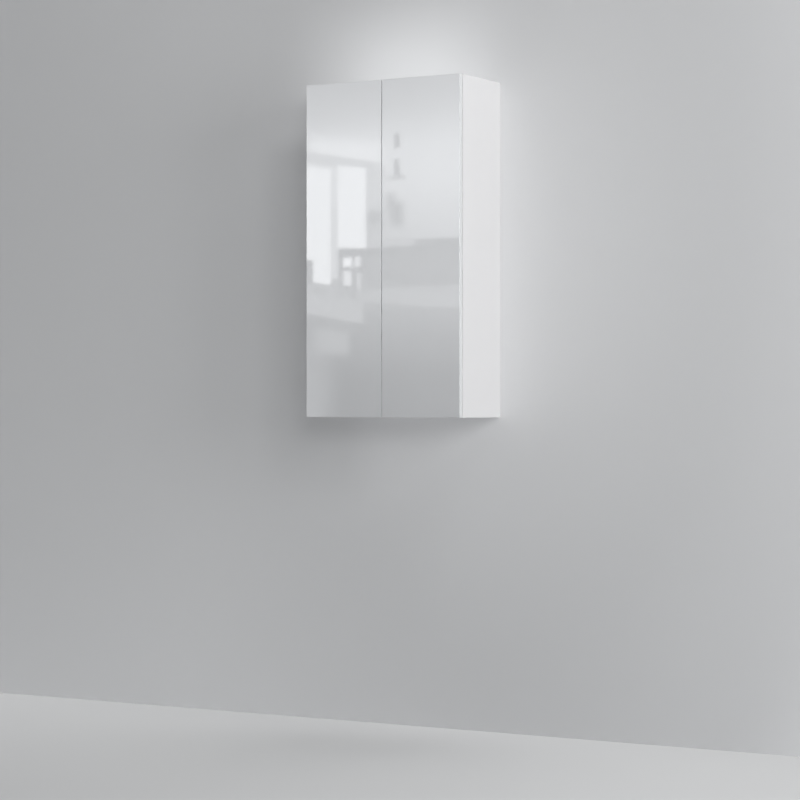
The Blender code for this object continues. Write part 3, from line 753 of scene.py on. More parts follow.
@dataclass(frozen=True)
class EdgeBand:
    """Thin plastic edge band, a shade smoother than the board it closes."""

    name: str = "white_edge_band"
    colour: Colour = (0.855, 0.85, 0.86)
    darkest: float = 0.97
    drawn_grain: Point = (700.0, 700.0, 18.0)
    cloud_grain: float = 9.0
    clouding: Rise = Rise(0.35, 0.7, 0.5)
    roughness: float = 0.30
    drawn_swing: float = 0.10
    cloud_swing: float = 0.08
    relief: float = 0.00004
    strength: float = 0.25

    def dress(self) -> bpy.types.Material:
        """Build the band's material.

        Returns:
            The material.
        """
        shader = Shader(self.name)
        drawn = shader.noise(self.drawn_grain)
        cloud = shader.noise(self.cloud_grain)
        return shader.principled({
            "Base Color": shader.darkened(self.clouding.of(cloud), self.colour, self.darkest),
            "Roughness": self.roughness + drawn.swing(self.drawn_swing) + cloud.swing(self.cloud_swing),
            "Normal": shader.bump(drawn, self.relief, self.strength),
        })


@dataclass(frozen=True)
class DoorLacquer:
    """Fibreboard with high-gloss lacquer in front and round the edges, and a satin back."""

    name: str
    low: Point
    high: Point
    colour: Colour = (0.845, 0.855, 0.872)
    back_colour: Colour = (0.845, 0.84, 0.85)
    core_colours: tuple[Colour, Colour] = ((0.36, 0.25, 0.15), (0.52, 0.39, 0.26))
    darkest: float = 0.975
    fibre_grain: float = 1600.0
    cloud_grain: Point = (7.0, 7.0, 4.0)
    peel_grain: float = 170.0
    wiped_grain: Point = (26.0, 26.0, 5.0)
    pearl_grain: float = 1300.0
    skin: Span = (0.0004, 0.0006)
    back_film: Span = (0.0006, 0.0009)
    fibre_rise: Rise = Rise(0.3, 0.7)
    clouding: Rise = Rise(0.3, 0.7, 0.4)
    wiping: Rise = Rise(0.45, 0.8, 0.015)
    wear: float = 0.0015
    wear_shade: float = 0.4
    wear_dulling: float = 0.03
    roughness: float = 0.022
    coat_roughness: float = 0.018
    back_roughness: float = 0.34
    cloud_swing: float = 0.08
    pearl_swing: float = 0.05
    raw_roughness: float = 0.85
    peel_relief: float = 0.00002
    peel_strength: float = 0.3
    back_relief: float = 0.0002
    back_strength: float = 0.35
    pearl_share: float = 0.2

    def dress(self) -> bpy.types.Material:
        """Build the door's material.

        Returns:
            The material.
        """
        shader = Shader(self.name)
        gauge = BoxGauge(shader, self.low, self.high)
        raw = gauge.depth.rising(*self.skin)
        back = 1 - gauge.rear.rising(*self.back_film)
        dull = raw.most(back)
        fibres = shader.noise(self.fibre_grain, detail=4.0)
        core = shader.mix(self.fibre_rise.of(fibres), *self.core_colours)
        cloud = shader.noise(self.cloud_grain, detail=3.0)
        peel = shader.noise(self.peel_grain, detail=1.0)
        wiped = shader.noise(self.wiped_grain, detail=4.0, roughness=0.6)
        pearl = shader.noise(self.pearl_grain, detail=1.0)
        # Within about a millimetre and a half of the door's edges the colour darkens a little and the lacquer
        # dulls.
        near_edge = 1 - gauge.edge.rising(0.0, self.wear)
        shade = self.clouding.of(cloud) + near_edge * self.wear_shade
        front = shader.darkened(shade, self.colour, self.darkest)
        gloss = self.roughness + self.wiping.of(wiped) + near_edge * self.wear_dulling
        satin = self.back_roughness + cloud.swing(self.cloud_swing) + pearl.swing(self.pearl_swing)
        peeled = shader.bump(peel, self.peel_relief, self.peel_strength)
        height = pearl * back * self.pearl_share + fibres * raw
        return shader.principled({
            "Base Color": shader.mix(raw, shader.mix(back, front, self.back_colour), core),
            "Roughness": gloss.towards(satin, dull).towards(self.raw_roughness, raw),
            "Coat Weight": 1 - dull,
            "Coat Roughness": self.coat_roughness,
            "Normal": shader.bump(height, self.back_relief, self.back_strength, peeled),
        })


@dataclass(frozen=True)
class Hardboard:
    """Thin fibreboard, white in front and brown with a pressed screen pattern behind."""

    name: str
    low: Point
    high: Point
    front: Colour = (0.80, 0.80, 0.79)
    browns: tuple[Colour, Colour] = ((0.20, 0.125, 0.07), (0.33, 0.22, 0.13))
    darkest: float = 0.96
    fibre_grain: float = 900.0
    blotch_grain: float = 22.0
    film: Span = (0.0002, 0.0004)
    blotch_share: float = 0.3
    browning: Rise = Rise(0.3, 0.7)
    clouding: Rise = Rise(0.35, 0.7, 0.5)
    pitch: float = 0.0016
    roughness: float = 0.72
    fibre_swing: float = 0.2
    front_roughness: float = 0.45
    relief: float = 0.0003
    strength: float = 0.6
    fibre_relief: float = 0.4

    def dress(self) -> bpy.types.Material:
        """Build the panel's material.

        Returns:
            The material.
        """
        shader = Shader(self.name)
        x, y, z = shader.position()
        inner = 1 - (y - self.low[1]).rising(*self.film)
        fibres = shader.noise(self.fibre_grain, detail=5.0, roughness=0.65)
        blotch = shader.noise(self.blotch_grain, detail=4.0)
        brown = shader.mix(self.browning.of(fibres.towards(blotch, self.blotch_share)), *self.browns)
        white = shader.darkened(self.clouding.of(blotch), self.front, self.darkest)
        rough = self.roughness + fibres.swing(self.fibre_swing)
        height = self.ridge(x).towards(self.ridge(z), 0.5).towards(fibres, self.fibre_relief)
        return shader.principled({
            "Base Color": shader.mix(inner, brown, white),
            "Roughness": rough.towards(self.front_roughness, inner),
            "Normal": shader.bump(height * (1 - inner), self.relief, self.strength),
        })

    def ridge(self, place: Value) -> Value:
        """Waves of the pressed screen along one coordinate, from 0 to 1."""
        return place.maths("SINE", place * (2 * math.pi / self.pitch)) * 0.5 + 0.5


@dataclass(frozen=True)
class PlatedSteel:
    """Pressed steel with a bright plating, faint drawing lines and a few dull patches."""

    name: str
    colour: Colour
    tint: Colour
    roughness: float = 0.24
    drawn_grain: Point = (900.0, 60.0, 900.0)
    patch_grain: float = 130.0
    grit_grain: float = 2500.0
    tarnish: Rise = Rise(0.4, 0.75, 0.7)
    dulling: Rise = Rise(0.45, 0.8, 0.14)
    drawn_swing: float = 0.14
    relief: float = 0.00003
    strength: float = 0.35
    grit_share: float = 0.4

    def dress(self) -> bpy.types.Material:
        """Build the metal's material.

        Returns:
            The material.
        """
        shader = Shader(self.name)
        drawn = shader.noise(self.drawn_grain, detail=3.0, roughness=0.6)
        patch = shader.noise(self.patch_grain, detail=4.0)
        grit = shader.noise(self.grit_grain, detail=1.0)
        return shader.principled({
            "Base Color": shader.mix(self.tarnish.of(patch), self.colour, self.tint),
            "Metallic": 1.0,
            "Roughness": self.roughness + drawn.swing(self.drawn_swing) + self.dulling.of(patch),
            "Normal": shader.bump(drawn.towards(grit, self.grit_share), self.relief, self.strength),
        })


@dataclass(frozen=True)
class MouldedPlastic:
    """Moulded plastic with a fine spark-eroded skin and faint flow marks."""

    name: str
    colour: Colour
    roughness: float = 0.42
    darkest: float = 0.93
    skin_grain: float = 2200.0
    flow_grain: Point = (55.0, 55.0, 160.0)
    clouding: Rise = Rise(0.35, 0.7, 0.6)
    skin_swing: float = 0.12
    flow_swing: float = 0.10
    relief: float = 0.00005
    strength: float = 0.4

    def dress(self) -> bpy.types.Material:
        """Build the plastic's material.

        Returns:
            The material.
        """
        shader = Shader(self.name)
        skin = shader.noise(self.skin_grain)
        flow = shader.noise(self.flow_grain, detail=3.0)
        return shader.principled({
            "Base Color": shader.darkened(self.clouding.of(flow), self.colour, self.darkest),
            "Roughness": self.roughness + skin.swing(self.skin_swing) + flow.swing(self.flow_swing),
            "Normal": shader.bump(skin, self.relief, self.strength),
        })


@dataclass(frozen=True)
class ClearPad:
    """Soft clear rubber, slightly cloudy."""

    name: str = "clear_pad"
    colour: Colour = (0.80, 0.81, 0.81)
    darkest: float = 0.9
    haze_grain: float = 600.0
    clouding: Rise = Rise(0.4, 0.7)
    roughness: float = 0.16
    haze_dulling: float = 0.18
    clearness: float = 0.55
    index: float = 1.42
    relief: float = 0.00003
    strength: float = 0.3

    def dress(self) -> bpy.types.Material:
        """Build the pad's material.

        Returns:
            The material.
        """
        shader = Shader(self.name)
        haze = shader.noise(self.haze_grain, detail=3.0)
        return shader.principled({
            "Base Color": shader.darkened(self.clouding.of(haze), self.colour, self.darkest),
            "Roughness": self.roughness + haze * self.haze_dulling,
            "Transmission Weight": self.clearness,
            "IOR": self.index,
            "Normal": shader.bump(haze, self.relief, self.strength),
        })


@dataclass(frozen=True)
class Beech:
    """Beech with fine pores along its length."""

    name: str = "beech_dowel"
    light: Colour = (0.62, 0.43, 0.25)
    dark: Colour = (0.42, 0.26, 0.13)
    ring_grain: Point = (60.0, 1500.0, 1500.0)
    pore_grain: Point = (250.0, 3500.0, 3500.0)
    pore_share: float = 0.3
    darkening: Rise = Rise(0.35, 0.65)
    roughness: float = 0.6
    pore_swing: float = 0.3
    relief: float = 0.0001
    strength: float = 0.5

    def dress(self) -> bpy.types.Material:
        """Build the wood's material.

        Returns:
            The material.
        """
        shader = Shader(self.name)
        rings = shader.noise(self.ring_grain, detail=4.0, roughness=0.6)
        pores = shader.noise(self.pore_grain)
        grown = self.darkening.of(rings.towards(pores, self.pore_share))
        return shader.principled({
            "Base Color": shader.mix(grown, self.light, self.dark),
            "Roughness": self.roughness + pores.swing(self.pore_swing),
            "Normal": shader.bump(pores, self.relief, self.strength),
        })


class Finishes:
    """The finishes that several pieces share."""

    def __init__(self) -> None:
        """Build each shared material once."""
        self.band = EdgeBand().dress()
        self.nickel = PlatedSteel("nickel_plate", colour=(0.73, 0.715, 0.69), tint=(0.60, 0.58, 0.55),
                                  roughness=0.20).dress()
        self.hinge = PlatedSteel("hinge_plate_steel", colour=(0.68, 0.675, 0.66),
                                 tint=(0.55, 0.545, 0.53)).dress()
        self.zinc = PlatedSteel("zinc_strip", colour=(0.62, 0.63, 0.645), tint=(0.50, 0.51, 0.53),
                                roughness=0.33, drawn_grain=(900.0, 900.0, 70.0)).dress()
        self.white_plastic = MouldedPlastic("white_moulding", colour=(0.80, 0.80, 0.785)).dress()
        self.grey_plastic = MouldedPlastic("grey_moulding", colour=(0.42, 0.43, 0.44)).dress()
        self.pale_plastic = MouldedPlastic("pale_moulding", colour=(0.68, 0.69, 0.70),
                                           roughness=0.36).dress()
        self.rubber = ClearPad().dress()
        self.beech = Beech().dress()


@dataclass
class CrossScrew:
    """The head of a screw with a cross recess; its shares are of its height or radius."""

    radius: float
    height: float
    blade: float = 0.0005
    domed: float = 0.72
    rim: float = 0.45
    shoulder: Span = (0.85, 0.90)
    reach: float = 0.62
    floor: float = 0.25

    def __post_init__(self) -> None:
        """Build the head once, at the origin and facing up."""
        radius, height = self.radius, self.height
        shoulder, narrowed = self.shoulder
        stations = [(0.0, 0.0), (0.0, radius), (height * self.rim, radius),
                    (height * shoulder, radius * narrowed), (height, radius * self.domed), (height, 0.0)]
        head = Shape.turned(stations, (0, 0, 0), UP, steps=24)
        reach, half = radius * self.reach, self.blade / 2
        for turn in (0.0, math.pi / 2):
            wing = Shape.block((-reach, -half, height * self.floor), (reach, half, height + OVERRUN))
            head = head.carved(wing.moved(Matrix.Rotation(turn, 4, "Z")))
        self.head = head

    def at(self, seat: Point, towards: Point, twist: float) -> Shape:
        """A copy of the head on its seat, with its cross at an angle."""
        return self.head.copy().moved(Shape.turn(seat, towards) @ Matrix.Rotation(twist, 4, "Z"))


@dataclass
class BoardMaker:
    """Makes the carcass boards: a chipboard core with separate edge bands."""

    finishes: Finishes
    band: float = 0.0008
    reveal: float = 0.00004
    arris: float = 0.0003
    shelf_arris: float = 0.0001
    shelf_colour: Colour = (0.835, 0.83, 0.84)

    def core(self, node: str, low: Point, high: Point, raw_ends: bool) -> None:
        """Make a board's core from its solid, cut back behind its bands.

        Args:
            node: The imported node, with its holes and grooves.
            low: Lowest corner of the core.
            high: Highest corner of the core.
            raw_ends: Whether its left and right ends are raw.
        """
        box = Extent.of(node)
        finish = MelamineBoard(f"{node}_board", box.low, box.high, raw_ends)
        core = Shape.of_node(node).carved(Shape.block(low, high), Cut.SHARED)
        core.place(f"{node}_core", finish.dress(), "carcass", "white_board", node)

    def strip(self, name: str, low: Point, high: Point, *bores: Shape, slot: str = "white_board") -> None:
        """Make one edge band.

        Args:
            name: Name of the piece.
            low: Lowest corner.
            high: Highest corner.
            bores: Shapes of the holes that pass through it.
            slot: The record's material slot.
        """
        strip = Shape.block(low, high, self.arris, steps=2)
        for bore in bores:
            strip = strip.carved(bore)
        strip.place(name, self.finishes.band, "carcass", slot)

    def side(self, hand: Hand) -> None:
        """Make a side panel, banded in front, below and on top.

        Args:
            hand: Which side.
        """
        node = f"side_panel_{hand.word}"
        low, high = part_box(node)
        core_low = (low.x - OVERRUN, low.y + self.band, low.z + self.band)
        self.core(node, core_low, (high.x + OVERRUN, high.y + OVERRUN, high.z - self.band), False)
        inner, rear = self.band - self.reveal, low.y + self.band
        self.strip(f"{node}_front_band", low, (high.x, low.y + inner, high.z))
        self.strip(f"{node}_bottom_band", (low.x, rear, low.z), (high.x, high.y, low.z + inner))
        self.strip(f"{node}_top_band", (low.x, rear, high.z - inner), high)

    def cross(self, node: str, *bores: Shape) -> None:
        """Make the top or bottom panel, banded in front.

        Args:
            node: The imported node.
            bores: Shapes of the holes in its front edge.
        """
        low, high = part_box(node)
        core_low = (low.x - OVERRUN, low.y + self.band, low.z - OVERRUN)
        self.core(node, core_low, high + Vector((OVERRUN,) * 3), True)
        self.strip(f"{node}_front_band", low, (high.x, low.y + self.band - self.reveal, high.z), *bores)

    def shelf(self, tier: Tier) -> None:
        """Make a shelf, banded in front.

        Args:
            tier: Which shelf.
        """
        node = f"shelf_{tier.word}"
        low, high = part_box(node)
        finish = MelamineBoard(f"{node}_board", low, high, True, self.shelf_colour)
        core = Shape.block((low.x, low.y + self.band, low.z), high, self.shelf_arris, steps=1)
        core.place(f"{node}_core", finish.dress(), "carcass", "shelf_board", node)
        end = (high.x, low.y + self.band - self.reveal, high.z)
        self.strip(f"{node}_front_band", low, end, slot="shelf_board")


@dataclass
class Carcass:
    """Side, top and bottom panels, shelves, back panel, shelf pins and dowels."""

    finishes: Finishes
    pin_radius: float = 0.0023
    pin_shank: float = 0.0100
    pin_peg: float = 0.0090
    pin_chamfer: float = 0.0004
    pin_groove: tuple[Station, ...] = ((0.0012, 0.0), (0.0010, 0.0002), (0.0008, 0.0))
    collar: float = 0.0008
    collar_radius: float = 0.0035
    collar_edge: float = 0.0002
    dowel_flutes: int = 20
    flute_share: float = 0.93
    dowel_chamfer: float = 0.15
    latch_radius: float = 0.0055

    def build(self) -> None:
        """Build every piece of the carcass."""
        maker = BoardMaker(self.finishes)
        for hand in Hand:
            maker.side(hand)
        maker.cross("top_panel")
        maker.cross("bottom_panel", *(self.latch_bore(hand) for hand in Hand))
        for tier in Tier:
            maker.shelf(tier)
        self.dress_back()
        for tier, hand, row in product(Tier, Hand, Row):
            self.shelf_pin(f"shelf_pin_{tier.word}_{hand.word}_{row.word}", hand)
        for end, hand, row in product(End, Hand, Row):
            self.dowel(f"dowel_{end.word}_{hand.word}_{row.word}")

    def latch_bore(self, hand: Hand) -> Shape:
        """The hole in the bottom panel's front band for a push latch."""
        x, y, z = Extent.of(f"latch_housing_{hand.word}").front
        return Shape.rod((x, y - OVERRUN, z), (x, y + OVERRUN, z), self.latch_radius, sides=36)

    def dress_back(self) -> None:
        """Give the back panel's own solid its two-sided finish."""
        low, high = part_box("back_panel")
        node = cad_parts["back_panel"]
        node.data.materials.clear()
        node.data.materials.append(Hardboard("back_hardboard", low, high).dress())
        LOG.info("back_panel keeps its solid")

    def shelf_pin(self, node: str, hand: Hand) -> None:
        """Turn a shelf pin with a rounded collar, a groove and chamfered ends.

        Args:
            node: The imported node.
            hand: Which side panel holds it.
        """
        box = Extent.of(node)
        outer = box.high.x if hand is Hand.RIGHT else -box.low.x
        radius, chamfer, shank = self.pin_radius, self.pin_chamfer, self.pin_shank
        rim, edge, end = self.collar_radius, self.collar_edge, shank + self.pin_peg
        collar_end = shank + self.collar
        stations = [
            (0.0, 0.0), (0.0, radius - chamfer), (chamfer, radius), (shank, radius),
            (shank, rim - edge), (shank + edge, rim), (collar_end - edge, rim), (collar_end, rim - edge),
            (collar_end, radius), *stepped(self.pin_groove, radius, end, -1),
            *chamfered(end, radius, chamfer),
        ]
        pin = Shape.turned(stations, (outer, box.middle.y, box.middle.z), INWARD, steps=28)
        pin.handed(hand).place(f"{node}_turned", self.finishes.nickel, "carcass", "nickel", node)

    def dowel(self, node: str) -> None:
        """Make a fluted dowel with chamfered ends.

        Args:
            node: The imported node.
        """
        box = Extent.of(node)
        _, y, z = middle = box.middle
        radius = box.depth / 2
        chamfer = radius * self.dowel_chamfer
        start, end = (box.low.x + chamfer, y, z), (box.high.x - chamfer, y, z)
        rod = Shape.rod(start, end, radius, sides=2 * self.dowel_flutes)
        around = sorted(rod.form.verts, key=lambda vert: math.atan2(vert.co.z - z, vert.co.y - y))
        for index, vert in enumerate(around):
            if (index // 2) % 2:
                bmesh.ops.scale(rod.form, vec=(1, self.flute_share, self.flute_share),
                                space=Matrix.Translation(-middle), verts=[vert])
        caps = [face for face in rod.form.faces if len(face.verts) > 4]
        bmesh.ops.inset_region(rod.form, faces=caps, thickness=chamfer, depth=chamfer, use_even_offset=True)
        rod.place(f"{node}_fluted", self.finishes.beech, "carcass", "beech", node)


@dataclass
class Door:
    """A lacquered door with its strike plate and two pads."""

    finishes: Finishes
    hand: Hand
    edge_radius: float = 0.0008
    edge_steps: int = 4
    back_radius: float = 0.0004
    bore_clearance: float = 0.0005
    bore_floor: float = 0.0003
    screw_bore: float = 0.0021
    screw_depth: float = 0.0105
    screw_offset: float = 0.0095
    screw_half_pitch: float = 0.0225
    strike_edge: float = 0.0002
    strike_sink: Span = (0.0003, 0.0005)
    strike_floor: float = 0.45
    strike_screw: float = 0.0026
    strike_screw_fit: float = 0.94
    strike_screw_share: float = 0.5
    strike_blade: float = 0.0004
    pad_rim: float = 0.25
    pad_foot: float = 0.98
    pad_steps: int = 8

    def build(self) -> None:
        """Build the door and what is fixed to its back."""
        node = f"door_{self.hand.word}"
        low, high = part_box(node)
        door = self.rounded(low, high)
        for level in Level:
            for bore in self.bores(level, high.y):
                door = door.carved(bore)
        finish = DoorLacquer(f"{node}_lacquer", low, high)
        door.place(f"{node}_panel", finish.dress(), f"{self.hand.word}_door", "door_lacquer", node)
        self.strike_plate()
        for end in End:
            self.pad(end)

    def rounded(self, low: Vector, high: Vector) -> Shape:
        """Round the door's front edges and corners well, and its back edges slightly.

        Args:
            low: Lowest corner of the door.
            high: Highest corner of the door.

        Returns:
            The door without its bores.
        """
        def behind(edge: bmesh.types.BMEdge) -> bool:
            """Whether an edge lies in the back face."""
            return all(abs(vert.co.y - high.y) < WELD for vert in edge.verts)

        door = Shape.block(low, high)
        door.soften(self.edge_radius, self.edge_steps, where=lambda edge: not behind(edge))
        return door.soften(self.back_radius, steps=2, where=behind)

    def bores(self, level: Level, back: float) -> list[Shape]:
        """The cup bore and the two screw holes of one hinge.

        Args:
            level: Which hinge.
            back: Depth of the door's back face.

        Returns:
            The shapes to cut.
        """
        cup = Extent.of(f"hinge_cup_{self.hand.word}_{level.word}")
        middle, end = cup.middle, back + OVERRUN
        bores = [Shape.rod((middle.x, cup.low.y - self.bore_floor, middle.z), (middle.x, end, middle.z),
                           cup.radius + self.bore_clearance, sides=72)]
        x = middle.x - self.hand.value * self.screw_offset
        for step in (-1, 1):
            z = middle.z + step * self.screw_half_pitch
            start = (x, back - self.screw_depth, z)
            bores.append(Shape.rod(start, (x, end, z), self.screw_bore, sides=20))
        return bores

    def strike_plate(self) -> None:
        """Turn the strike plate, with a sunk screw in its middle."""
        node = f"strike_plate_{self.hand.word}"
        box = Extent.of(node)
        x, y, z = box.front
        radius, height, sunk, edge = box.radius, box.depth, self.strike_screw, self.strike_edge
        lip, sink = self.strike_sink
        floor = height * self.strike_floor
        stations = [(0.0, 0.0), (0.0, radius - edge), (edge, radius), (height - edge, radius),
                    (height, radius - lip), (height, sunk + sink), (floor, sunk), (floor, 0.0)]
        screw = CrossScrew(sunk * self.strike_screw_fit, height * self.strike_screw_share, self.strike_blade)
        plate = Shape.turned(stations, box.front, REARWARD, steps=40)
        plate.join(screw.at((x, y + floor, z), REARWARD, twist=0.7))
        plate.place(f"{node}_turned", self.finishes.nickel, f"{self.hand.word}_door", "nickel", node)

    def pad(self, end: End) -> None:
        """Turn a domed pad.

        Args:
            end: Which end of the door it is at.
        """
        node = f"bumper_{self.hand.word}_{end.word}"
        box = Extent.of(node)
        rim, radius = self.pad_rim, box.radius
        angles = [math.pi / 2 * step / self.pad_steps for step in range(self.pad_steps + 1)]
        dome = [(box.depth * (rim + (1 - rim) * math.sin(angle)), radius * math.cos(angle))
                for angle in angles]
        pad = Shape.turned([(0.0, 0.0), (0.0, radius * self.pad_foot), *dome], box.front, REARWARD)
        pad.place(f"{node}_dome", self.finishes.rubber, f"{self.hand.word}_door", "clear_rubber", node)


@dataclass
class Hinge:
    """A concealed hinge: cup, link, arm and mounting plate."""

    finishes: Finishes
    hand: Hand
    level: Level
    cup_wall: float = 0.0010
    cup_foot: tuple[Station, ...] = ((0.0, 0.0016), (0.0003, 0.0008), (0.0009, 0.0002), (0.0017, 0.0))
    cup_rim: tuple[Station, ...] = ((0.0004, 0.0), (0.0001, 0.0002), (0.0, 0.0005), (0.0002, 0.0010))
    cup_floor: tuple[Station, ...] = ((0.0016, 0.0), (0.0006, 0.0004), (0.0, 0.0014))
    cup_dimple: tuple[Station, ...] = ((0.0, 0.0055), (-0.0004, 0.0050), (-0.0004, 0.0))
    cup_pivot_inset: float = 0.0045
    cup_pivot_lift: float = 0.0076
    cup_pin: float = 0.0010
    flange: float = 0.0008
    flange_width: float = 0.0178
    flange_past: float = 0.0008
    flange_corner: float = 0.0045
    sheet_edge: float = 0.0002
    screw_offset: float = 0.0095
    screw_half_pitch: float = 0.0225
    screw_radius: float = 0.0032
    screw_height: float = 0.0010
    screw_shank: float = 0.0016
    screw_tip: float = 0.0026
    link_edge: float = 0.0003
    arm_cheek: float = 0.0015
    arm_nose: float = 0.0043
    arm_corner: float = 0.0036
    arm_edge: float = 0.0008
    arm_burr: float = 0.00015
    arm_pin: float = 0.0015
    arm_pin_inset: float = 0.0004
    arm_rivet: tuple[Station, ...] = (
        (0.0, 0.0), (0.0, 0.0022), (0.0002, 0.0021), (0.0004, 0.0015), (0.0005, 0.0))
    arm_screw_height: float = 0.0012
    arm_screw_run: float = 0.0373
    arm_screw_radius: float = 0.0030
    arm_screw_blade: float = 0.0006
    slot_half_length: float = 0.0050
    slot_half_width: float = 0.0020
    slot_corner: float = 0.00195
    adjuster_run: float = 0.0150
    adjuster_radius: float = 0.0026
    adjuster_height: float = 0.0009
    adjuster_lift: float = 0.0002
    bead_radius: float = 0.0004
    bead_half_width: float = 0.0012
    bead_gaps: tuple[float, float] = (0.0060, 0.0080)
    plate_sheet: float = 0.0017
    plate_half: float = 0.0080
    plate_corner: float = 0.0030
    plate_edge: float = 0.0003
    rib_height: float = 0.0030
    rib_inset: float = 0.0030
    rib_half: float = 0.0045
    rib_edge: float = 0.0005
    wing_half_width: float = 0.0065
    wing_setback: float = 0.0150
    plate_screw_pitch: float = 0.0160
    plate_screw_radius: float = 0.0040
    plate_screw_height: float = 0.0012
    plate_screw_blade: float = 0.0007
    plate_shank: float = 0.0022

    def build(self) -> None:
        """Build the four pieces of the hinge."""
        word = f"{self.hand.word}_{self.level.word}"
        door = f"{self.hand.word}_door"
        pieces = (
            ("cup", self.cup(), door),
            ("link", self.link(), f"{self.hand.word}_links"),
            ("arm", self.arm(), "carcass"),
            ("plate", self.plate(), "carcass"),
        )
        for part, shape, body in pieces:
            node = f"hinge_{part}_{word}"
            shape.handed(self.hand).place(f"{node}_pressing", self.finishes.hinge, body, "hinge_steel", node)

    def extent(self, part: str) -> Extent:
        """The extent of the right-hand piece of this level."""
        return Extent.of(f"hinge_{part}_right_{self.level.word}")

    def cup(self) -> Shape:
        """Form the cup, its screwed flange and its pivot pin.

        Returns:
            The joined shapes.
        """
        box = self.extent("cup")
        low, high, middle, radius, wall = box.low, box.high, box.middle, box.radius, self.cup_wall
        top = high.y - self.screw_height - low.y
        stations = [(0.0, 0.0), *stepped(self.cup_foot, radius), *stepped(self.cup_rim, radius, top, -1),
                    *stepped(self.cup_floor, radius - wall, wall),
                    *((wall + rise, width) for rise, width in self.cup_dimple)]
        shell = Shape.turned(stations, box.front, REARWARD, steps=64)
        outer = middle.x + self.flange_past
        plate = Shape.block((outer - self.flange_width, low.y + top - self.flange, low.z),
                            (outer, low.y + top, high.z))
        plate.corners(Axis.DEPTH, self.flange_corner, steps=6).soften(self.sheet_edge, 2, PRESSED)
        mouth = (middle.x, high.y + OVERRUN, middle.z)
        plate = plate.carved(Shape.rod(box.front, mouth, radius - wall / 2, sides=64))
        screw = CrossScrew(self.screw_radius, self.screw_height)
        x = middle.x - self.screw_offset
        for step in (-1, 1):
            seat = (x, low.y + top, middle.z + step * self.screw_half_pitch)
            shank = Shape.rod((x, low.y + self.screw_tip, seat[2]), seat, self.screw_shank, sides=16)
            shell.join(screw.at(seat, REARWARD, twist=0.3 + step * 0.4), shank)
        x, y = high.x - self.cup_pivot_inset, low.y + self.cup_pivot_lift
        reach = math.sqrt((radius - wall / 2) ** 2 - (x - middle.x) ** 2)
        pin = Shape.rod((x, y, middle.z - reach), (x, y, middle.z + reach), self.cup_pin, sides=16)
        return shell.join(plate, pin)

    def link(self) -> Shape:
        """The link, with its pressed edges rounded."""
        link = Shape.of_node(f"hinge_link_right_{self.level.word}")
        return link.soften(self.link_edge, 2, PRESSED)

    def arm(self) -> Shape:
        """Form the arm: a channel with rounded cheeks, a pin, a bead and two screws.

        Returns:
            The joined shapes.
        """
        box = self.extent("arm")
        low, high, z = box.low, box.high, box.middle.z
        crown = low.x + self.arm_screw_height
        x, y = crown + self.arm_nose, low.y + self.arm_nose
        inside = (high.z - low.z) / 2 - self.arm_cheek
        body = Shape.block((crown, low.y, low.z), high).corners(Axis.HEIGHT, self.arm_corner, steps=6)
        body.soften(self.arm_edge, 3, SQUARE)
        screw_y, adjuster_y = y + self.arm_screw_run, y + self.adjuster_run
        channel = Shape.block((crown + self.arm_cheek, low.y - OVERRUN, z - inside),
                              (high.x + OVERRUN, high.y + OVERRUN, z + inside))
        nose = Shape.block((crown - OVERRUN, low.y - OVERRUN, z - inside),
                           (high.x + OVERRUN, y + self.arm_nose, z + inside))
        length, width = self.slot_half_length, self.slot_half_width
        slot = Shape.block((crown - OVERRUN, screw_y - length, z - width),
                           (crown + self.arm_cheek + OVERRUN, screw_y + length, z + width))
        for cutter in (channel, nose, slot.corners(Axis.ACROSS, self.slot_corner)):
            body = body.carved(cutter)
        body.soften(self.arm_burr, 1, SQUARE)
        screw = CrossScrew(self.arm_screw_radius, self.arm_screw_height, self.arm_screw_blade)
        adjuster = CrossScrew(self.adjuster_radius, self.adjuster_height)
        seat, bead = (crown, screw_y, z), self.bead_radius
        near, far = adjuster_y + self.bead_gaps[0], screw_y - self.bead_gaps[1]
        inset = self.arm_pin_inset
        return body.join(
            screw.at(seat, INWARD, twist=0.5),
            Shape.rod(seat, (high.x - self.rib_height, screw_y, z), self.screw_shank, sides=16),
            adjuster.at((crown + self.adjuster_lift, adjuster_y, z), INWARD, twist=0.1),
            Shape.rod((x, y, low.z + inset), (x, y, high.z - inset), self.arm_pin, sides=20),
            Shape.turned(self.arm_rivet, (x, y, high.z), UP, steps=24),
            Shape.turned(self.arm_rivet, (x, y, low.z), DOWN, steps=24),
            Shape.block((crown - bead, near, z - self.bead_half_width),
                        (crown + bead, far, z + self.bead_half_width), bead, steps=2),
        )

    def pressed(self, low: Point, high: Point) -> Shape:
        """A flat pressing with round corners."""
        sheet = Shape.block(low, high).corners(Axis.ACROSS, self.plate_corner)
        return sheet.soften(self.plate_edge, 2, PRESSED)

